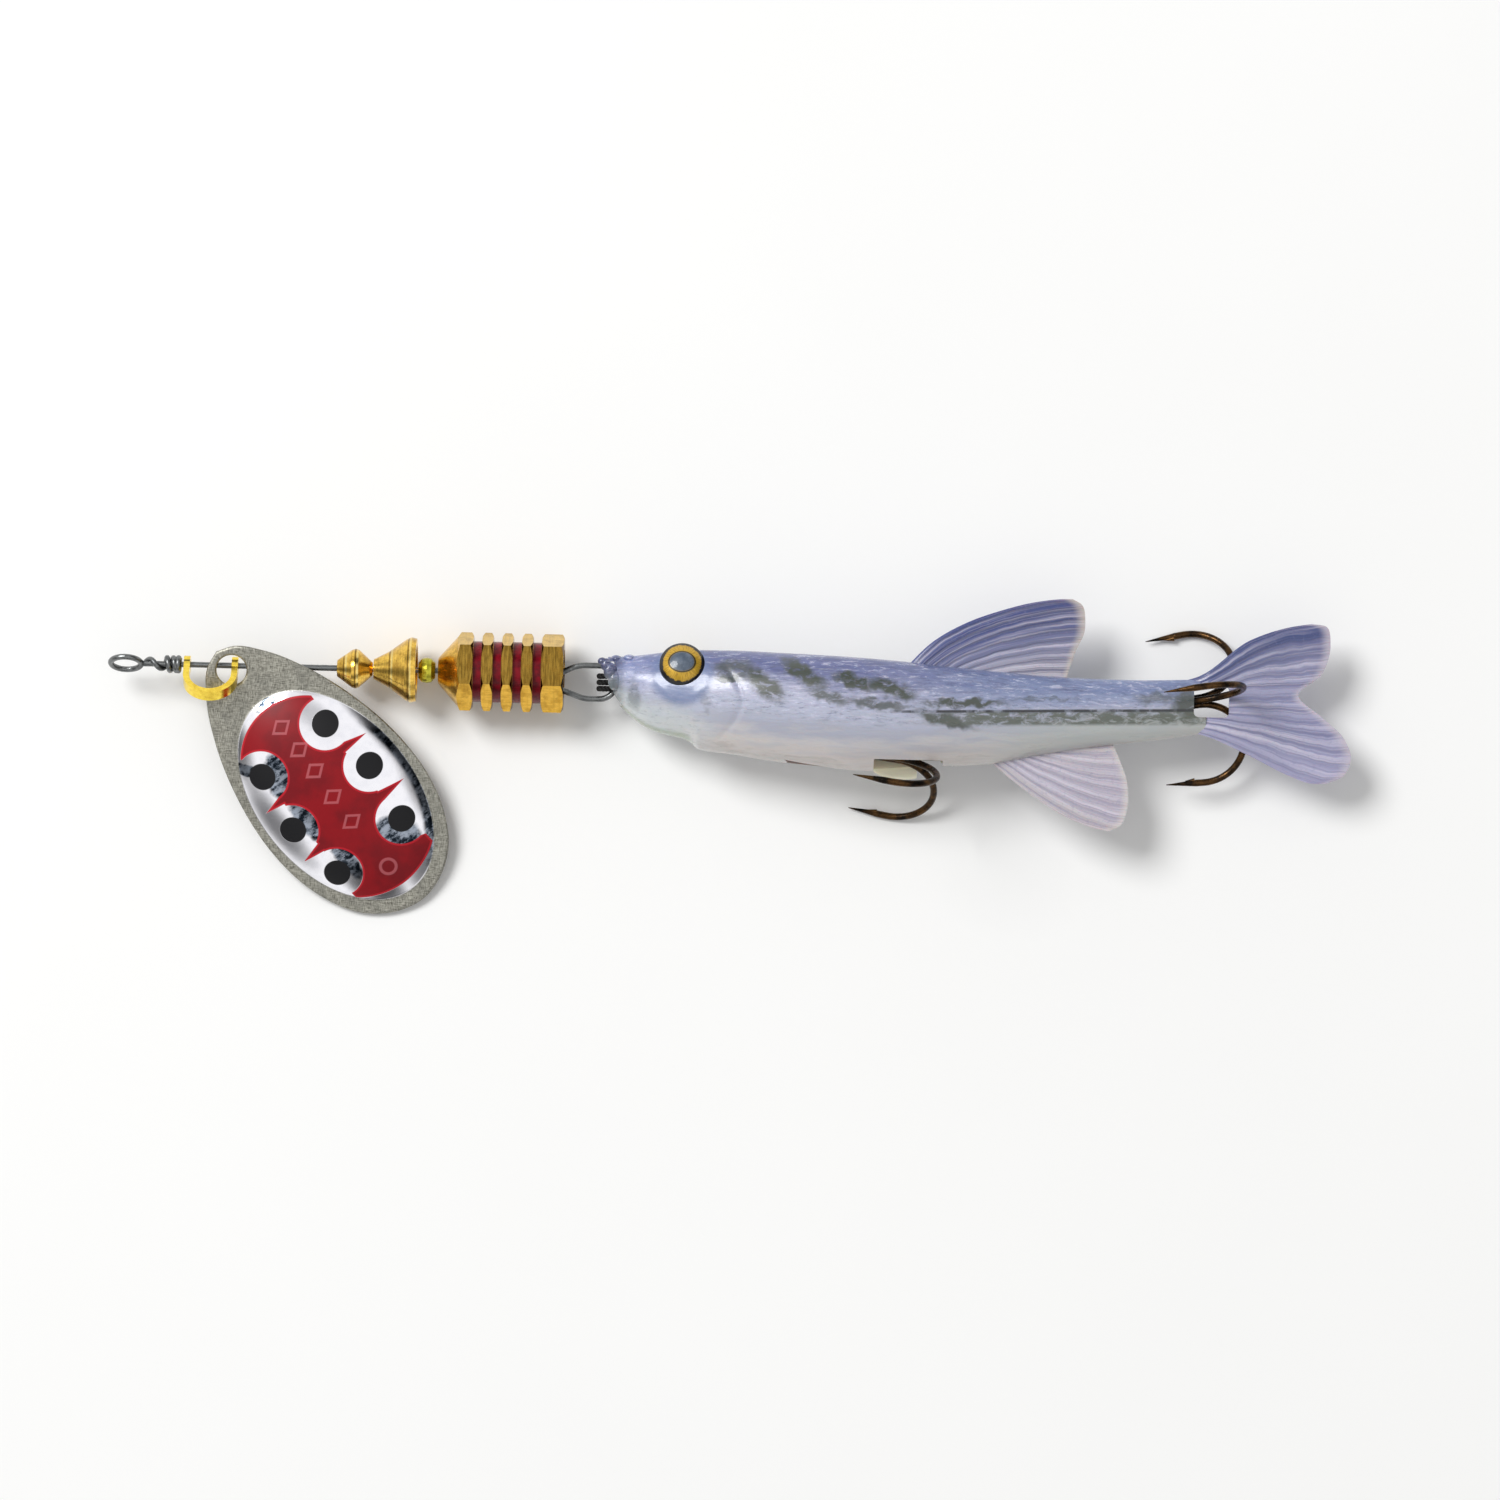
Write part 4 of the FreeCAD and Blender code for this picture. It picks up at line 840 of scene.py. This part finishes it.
def blade_material():
    """Silver plate: a brushed, cross hatched rim, a polished dome with painted reflections, and the printed
    spine and spots.
    """
    t = Tree("silver_plate", Metallic=1.0, Specular_IOR_Level=0.25)
    p = t.place()
    offset = t.vector("SUBTRACT", p, tuple(BLADE_FRAME.translation))
    axes = BLADE_FRAME.to_3x3()
    u, v, w = (t.dot(offset, axes.col[n]) for n in range(3))
    flat = t.add("CombineXYZ", u, v, 0.0).outputs[0]
    # the oval, measured as a share of its size
    eu = t.math("DIVIDE", t.minus(u, DOME_MIDDLE), DOME_LENGTH)
    ev = t.math("DIVIDE", v, DOME_WIDTH)
    oval = t.hypot(eu, ev)
    dome = t.ramp(oval, 0.985, 1.0, 1, 0)
    front = t.times(dome, t.ramp(w, 0.0, 0.02))
    # rim: fine linen hatching
    hatch_u = t.noise(p, 7.0, 2, 0.6, (0.25, 3.2, 1))
    hatch_v = t.noise(p, 7.0, 2, 0.6, (3.2, 0.25, 1))
    linen = t.times(t.plus(hatch_u, hatch_v), 0.5)
    t.colour = srgb(104, 102, 94)
    t.lay((190, 188, 176), t.ramp(linen, 0.38, 0.62))
    t.lay((118, 118, 112), t.ramp(t.noise(p, 0.5, 4, 0.6), 0.4, 0.7, 0, 0.4))
    bright = t.ramp(t.noise(p, 1.1, 3, 0.5), 0.4, 0.7, 0, 0.25)
    bright = t.mix(bright, srgb(246, 245, 250), srgb(214, 216, 226))
    # painted reflections: slate patches beside the spots and a black strip along the far edge stand for dark
    # surroundings mirrored in the dome
    moved = t.warped(flat, 1.1, 0.7)
    dark_reflection = t.times(t.band(oval, 0.9, 1.2, 0.025), t.times(t.ramp(v, 1.5, 3.5), t.ramp(u, 11.0, 13.5)))
    for place in DOME_REFLECTIONS:
        dark_reflection = t.most(dark_reflection, t.spot(moved, *place, 0.16))
    reflection_streak = t.ramp(t.noise(flat, 1.3, 5, 0.7, (1.0, 0.5, 1)), 0.38, 0.6)
    bright = t.mix(t.times(dark_reflection, t.ramp(reflection_streak, 0, 1, 0.75, 1.0)), bright,
                   t.mix(reflection_streak, srgb(104, 122, 142), srgb(22, 28, 36)))
    # the dome's silver, carrying its painted reflections
    t.lay(bright, dome)
    # print: the red spine, cut back around each spot, with a brighter edge
    clear = None
    for du, dv in DOTS:
        clear = t.least(clear, t.minus(t.away(flat, (du, dv, 0)), CLEARANCE))
    reach = t.math("ABSOLUTE", t.plus(v, 0.25))
    ends = t.most(t.ramp(u, 7.2, 7.6, 1, 0), t.ramp(u, 23.6, 24.0))
    wide = t.minus(t.plus(3.9, t.times(ends, 0.75)), reach)
    for foot, tip, high in SPIKES:
        side = math.copysign(1, high)
        out = t.times(v, side)
        lean = t.plus(foot, t.times(t.minus(out, 4.2), (tip - foot) / 2.05))
        width = t.times(t.minus(abs(high), out), 0.2)
        spike = t.minus(width, t.math("ABSOLUTE", t.minus(u, lean)))
        spike = t.least(spike, out)
        wide = t.most(wide, spike)
    near_end = t.add("CombineXYZ", t.least(t.minus(u, 11.24), 0.0), v, 0.0).outputs[0]
    far_end = t.add("CombineXYZ", t.most(t.minus(u, 18.7), 0.0), v, 0.0).outputs[0]
    red = t.least(t.minus(6.32, t.vector("LENGTH", near_end)),
                 t.minus(7.66, t.vector("LENGTH", far_end)))
    red = t.least(red, t.least(clear, wide))
    printed = t.times(t.ramp(red, -0.03, 0.03), front)
    core = t.ramp(red, 0.14, 0.24)
    paint = t.mix(t.ramp(t.noise(p, 0.35, 3, 0.5), 0.4, 0.65), srgb(142, 10, 22), srgb(120, 8, 20))
    paint = t.mix(core, srgb(186, 26, 40), paint)
    spots = None
    for du, dv in DOTS:
        away = t.away(flat, (du, dv, 0))
        spots = t.most(spots, t.ramp(away, SPOT_RADIUS - 0.03, SPOT_RADIUS + 0.03, 1, 0))
    spots = t.times(spots, front)
    t.lay(paint, printed)
    t.lay((16, 16, 19), spots)
    # the lozenges, and a ring past them, are stamped down the spine
    stamp = None
    for du, dv in LOZENGES:
        along, across = t.split(t.vector("ABSOLUTE", t.vector("SUBTRACT", flat, (du, dv, 0))))[:2]
        edge = t.minus(t.plus(along, t.times(across, 0.75)), 0.72)
        stamp = t.least(stamp, t.math("ABSOLUTE", edge))
    ring = t.minus(t.away(flat, (24.1, -0.35, 0)), 0.75)
    stamp = t.minus(t.least(stamp, t.math("ABSOLUTE", ring)), 0.13)
    struck = t.times(t.ramp(stamp, -0.04, 0.07, 1, 0), printed)
    t.lay((214, 120, 128), struck, 0.45)
    t.out("Base Color", t.colour)
    ink = t.most(printed, spots)
    t.out("Metallic", t.ramp(ink, 0, 1, 1.0, 0.0, smooth=False))
    polish = t.ramp(dome, 0, 1, 0.42, 0.09, smooth=False)
    t.out("Roughness", t.add("Mix", ink, None, polish, 0.42).outputs[0])
    height = t.times(t.minus(1.0, dome), linen)
    height = t.plus(height, t.times(dome, t.times(t.noise(p, 1.2, 3, 0.6), 0.12)))
    height = t.plus(height, t.times(struck, 0.9))
    height = t.plus(height, t.times(ink, 0.15))
    t.bump(height, 0.35, 0.09)
    return t.material


# --- the lashing ---
def lashing():
    """Three turns of braided cord, laid as plies that wind round each turn's line."""
    first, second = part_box("cord_lashing")
    first, second = np.array(first) / MM, np.array(second) / MM
    cord, pitch, bend, steps, lays = 0.28, 0.6, 0.61, 26, 7
    front, rear, middle_y = first[0] + cord, second[0] - cord, (first[1] + second[1]) / 2
    parts = []
    for turn in range(3):
        y = middle_y + (turn - 1) * pitch
        straight = np.linspace(0, 1, steps, endpoint=False)
        arc = math.pi * straight
        a, b = front + bend, rear - bend
        along = np.concatenate([a + (b - a) * straight, b + bend * np.sin(arc),
                                b + (a - b) * straight, a - bend * np.sin(arc)])
        up = np.concatenate([np.full(steps, bend), bend * np.cos(arc)])
        line = np.stack([along, np.full(4 * steps, y), np.concatenate([up, -up])], axis=1)
        tangent = np.roll(line, -1, 0) - np.roll(line, 1, 0)
        tangent /= np.linalg.norm(tangent, axis=1)[:, None]
        side = np.tile((0.0, 1.0, 0.0), (len(line), 1))
        other = np.cross(tangent, side)
        lay = np.linspace(0, 2 * math.pi * lays, len(line), endpoint=False)[:, None]
        for ply in range(3):
            phase = lay + ply * 2 * math.pi / 3
            wound = line + 0.145 * (np.cos(phase) * side + np.sin(phase) * other)
            parts.append(closed_tube(wound, 0.135, 8))
    return mesh_object("lashing_cord", *gather(parts))


def cord_material():
    """Waxed black cord: fine fibres along the lay and a dull sheen."""
    t = Tree("waxed_cord", Roughness=0.6, Specular_IOR_Level=0.3)
    p = t.place()
    fibres = t.noise(p, 14.0, 3, 0.6, (1, 2.5, 1))
    t.out("Base Color", t.mix(t.ramp(fibres, 0.35, 0.7), srgb(6, 6, 6), srgb(20, 18, 19)))
    t.bump(fibres, 0.5, 0.02)
    return t.material


# --- the finishes of the CAD pieces ---
steel = metal("drawn_steel", (128, 130, 130), (62, 64, 66), 0.3, (0.3, 4, 4), 6, bump=0.15, wear=0.5)
dress("shaft_wire", steel.material)
dress("harness_wire", metal("harness_steel", (150, 150, 150), (84, 84, 86), 0.32, (0.3, 4, 4), 6).material)
for crimp in ("front_crimp", "tail_crimp"):
    dress(crimp, metal("crimped_nickel", (170, 166, 158), (110, 104, 96), 0.35).material)
yellow = metal("yellow_brass", (255, 226, 92), (204, 152, 30), 0.18, grain_scale=3, bump=0.12, wear=0.3)
dress("clevis", yellow.material)
for piece, rings in (("front_bead", (20.95, 22.05)), ("bell", (25.35, 27.15))):
    brass = metal("turned_brass", (250, 206, 96), (116, 72, 14), 0.17, grain_scale=4, turned=0.4, bump=0.3,
                  wear=0.45)
    dress(piece, step_shade_and_highlight(brass, rings))
green = metal("greened_brass", (206, 196, 70), (110, 112, 24), 0.26, grain_scale=4, turned=0.4)
dress("spacer_bead", green.material)

# the weight: where its front land ends, the pitch and width of its grooves, and the depth of their paint
LAND_END, GROOVES, GROOVE_PITCH, GROOVE_WIDTH, PAINT_RADIUS = 3.35, 4, 1.91, 0.85, 3.2
# painted light and shade on the flats seen from above: the way each faces about X in degrees, its tone and
# its strength
FLAT_LIGHT_AND_SHADE = [(71.3, (214, 184, 104), 0.6), (11.3, (104, 76, 26), 0.8), (-48.7, (214, 160, 48), 0.5)]


def weight_material():
    """Brass bar with turned lands and red painted grooves, tarnished in patches, with painted light and shade
    on its flats and painted shade on the shoulders between the lands.
    """
    t = metal("weight_brass", (246, 200, 92), (110, 72, 18), 0.2, (0.25, 2.5, 2.5), 3, 0.3, 0.22, 0.55)
    p = t.place()
    x, y, z = t.split(p)
    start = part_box("hex_weight")[0].x / MM + LAND_END
    reach = t.hypot(y, z)
    grooves = None
    for n in range(GROOVES):
        begin = start + GROOVE_PITCH * n
        grooves = t.most(grooves, t.band(x, begin + 0.02, begin + GROOVE_WIDTH - 0.02, 0.03))
    uneven = t.plus(reach, t.ramp(t.noise(p, 1.6, 4, 0.6), 0.3, 0.7, -0.12, 0.12))
    low = t.ramp(uneven, PAINT_RADIUS - 0.04, PAINT_RADIUS + 0.04, 1, 0)
    painted = t.times(grooves, low)
    # painted light and shade: each flat gets a lighter or darker tone by the way it faces, and painted shade
    # darkens the turned shoulders between the lands
    normal = t.add("TexCoord").outputs["Normal"]
    streaks = t.ramp(t.noise(p, 3.0, 4, 0.65, (2.2, 0.2, 0.2)), 0.35, 0.65)
    for roll, tone, share in FLAT_LIGHT_AND_SHADE:
        facing = (0, math.sin(math.radians(roll)), math.cos(math.radians(roll)))
        flat = t.ramp(t.dot(normal, facing), 0.96, 0.985)
        flat = t.times(flat, t.ramp(streaks, 0, 1, share * 0.55, share))
        t.lay(tone, flat)
    shoulder_shade = t.ramp(t.math("ABSOLUTE", t.split(normal)[0]), 0.45, 0.75, 0.0, 0.85)
    t.lay((72, 42, 8), t.times(shoulder_shade, t.ramp(x, start - 0.7, start - 0.5)))
    red = t.mix(t.ramp(t.noise(p, 1.2, 4, 0.6), 0.35, 0.7), srgb(134, 12, 30), srgb(92, 8, 22))
    t.lay(red, painted)
    t.out("Base Color", t.colour)
    t.out("Specular IOR Level", 0.2)
    t.out("Metallic", t.ramp(painted, 0, 1, 1.0, 0.0, smooth=False))
    return t.material


dress("hex_weight", weight_material())


def hook_material():
    """Bronzed hook wire: dark brown with warm worn highlights."""
    t = Tree("bronzed_wire", Metallic=0.92)
    p = t.place()
    patches = t.noise(p, 0.7, 5, 0.6)
    fine = t.noise(p, 6.0, 3, 0.6)
    t.colour = t.mix(t.ramp(patches, 0.36, 0.66), srgb(22, 18, 14), srgb(88, 62, 34))
    t.lay((24, 19, 15), t.ramp(fine, 0.5, 0.75, 0, 0.5))
    t.out("Base Color", t.colour)
    t.out("Roughness", t.ramp(fine, 0.3, 0.7, 0.2, 0.34))
    t.bump(fine, 0.15, 0.02)
    return t.material


bronze = hook_material()
for hook in ("belly_treble_double", "belly_treble_single", "tail_treble_double", "tail_treble_single"):
    dress(hook, bronze)
dress("left_eye", eye_material("left_eye_paint", 1))
dress("right_eye", eye_material("right_eye_paint", -1))

# --- the new pieces ---
body = minnow()
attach(body, "minnow")
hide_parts("minnow_body")

sheet = blade_mesh()
sheet.data.materials.append(blade_material())
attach(sheet, "blade")
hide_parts("blade")

knot = lashing()
knot.data.materials.append(cord_material())
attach(knot, "lashing")
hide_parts("cord_lashing")


# --- floor, light and camera ---
def stage():
    mesh = bpy.data.meshes.new("floor")
    side = 6.0
    corners = [(-side, -side, lowest), (side, -side, lowest), (side, side, lowest), (-side, side, lowest)]
    mesh.from_pydata(corners, [], [(0, 1, 2, 3)])
    floor = bpy.data.objects.new("floor", mesh)
    bpy.context.scene.collection.objects.link(floor)
    t = Tree("floor_paper", Roughness=0.9, Specular_IOR_Level=0.1)
    cloud = t.ramp(t.noise(t.place(), 0.02, 3, 0.5), 0.3, 0.7)
    t.out("Base Color", t.mix(cloud, (0.955, 0.955, 0.945), (0.965, 0.965, 0.955)))
    mesh.materials.append(t.material)


def area_light(name, place, target, size, watts):
    lamp = bpy.data.lights.new(name, "AREA")
    lamp.shape, lamp.size, lamp.energy = "DISK", size, watts
    made = bpy.data.objects.new(name, lamp)
    made.location = place
    made.rotation_euler = (Vector(target) - Vector(place)).to_track_quat("-Z", "Y").to_euler()
    bpy.context.scene.collection.objects.link(made)


def world_light():
    """A bright studio with dark patches, which the polished metal shows."""
    world = bpy.data.worlds.new("studio")
    bpy.context.scene.world = world
    world.use_nodes = True
    tree = world.node_tree
    t = Tree.__new__(Tree)
    t.nodes, t.links = tree.nodes, tree.links
    way = t.add("TexCoord").outputs["Generated"]
    value = t.ramp(t.split(way)[2], -0.2, 0.25, 0.75, GLOSS_LEVEL)
    for azimuth, elevation, width, depth in DARK_PATCHES:
        a, e = math.radians(azimuth), math.radians(elevation)
        aim = (math.cos(a) * math.cos(e), math.sin(a) * math.cos(e), math.sin(e))
        edge, soft = math.cos(math.radians(width)), 0.02 + 0.06 * math.sin(math.radians(width))
        near = t.dot(t.vector("NORMALIZE", way), aim)
        value = t.times(value, t.ramp(near, edge - soft, edge + soft, 1.0, 1 - depth))
    seen = t.add("LightPath").outputs["Is Diffuse Ray"]
    value = t.add("Mix", seen, None, value, DIFFUSE_LEVEL).outputs[0]
    t.set(tree.nodes["Background"].inputs["Color"], value)


GLOSS_LEVEL, DIFFUSE_LEVEL = 1.0, 0.49
# azimuth, elevation, half width and depth
DARK_PATCHES = [(90, 67, 9, 0.5), (240, 62, 12, 0.8), (40, 24, 22, 0.9), (340, 6, 24, 0.8),
                (92, 34, 15, 0.9), (272, 26, 17, 0.9), (190, 22, 16, 0.85), (8, 30, 14, 0.85),
                (140, 28, 14, 0.8), (225, 20, 14, 0.8), (315, 28, 14, 0.8)]
bpy.context.scene.view_settings.view_transform = "Standard"
stage()
world_light()
middle = Vector((0.06009, -0.006885, 0))
area_light("key", middle + 1.7 * Vector((-0.42, 0.36, 0.62)), middle, 0.66, 14.5)

camera_data = bpy.data.cameras.new("camera")
camera_data.lens, camera_data.sensor_width = 180.0, 36.0
camera_data.clip_start, camera_data.clip_end = 0.01, 20.0
camera = bpy.data.objects.new("camera", camera_data)
camera.location = middle + Vector((0, 0, 0.72))
camera.rotation_euler = (0, 0, math.radians(1.4))
bpy.context.scene.collection.objects.link(camera)
bpy.context.scene.camera = camera
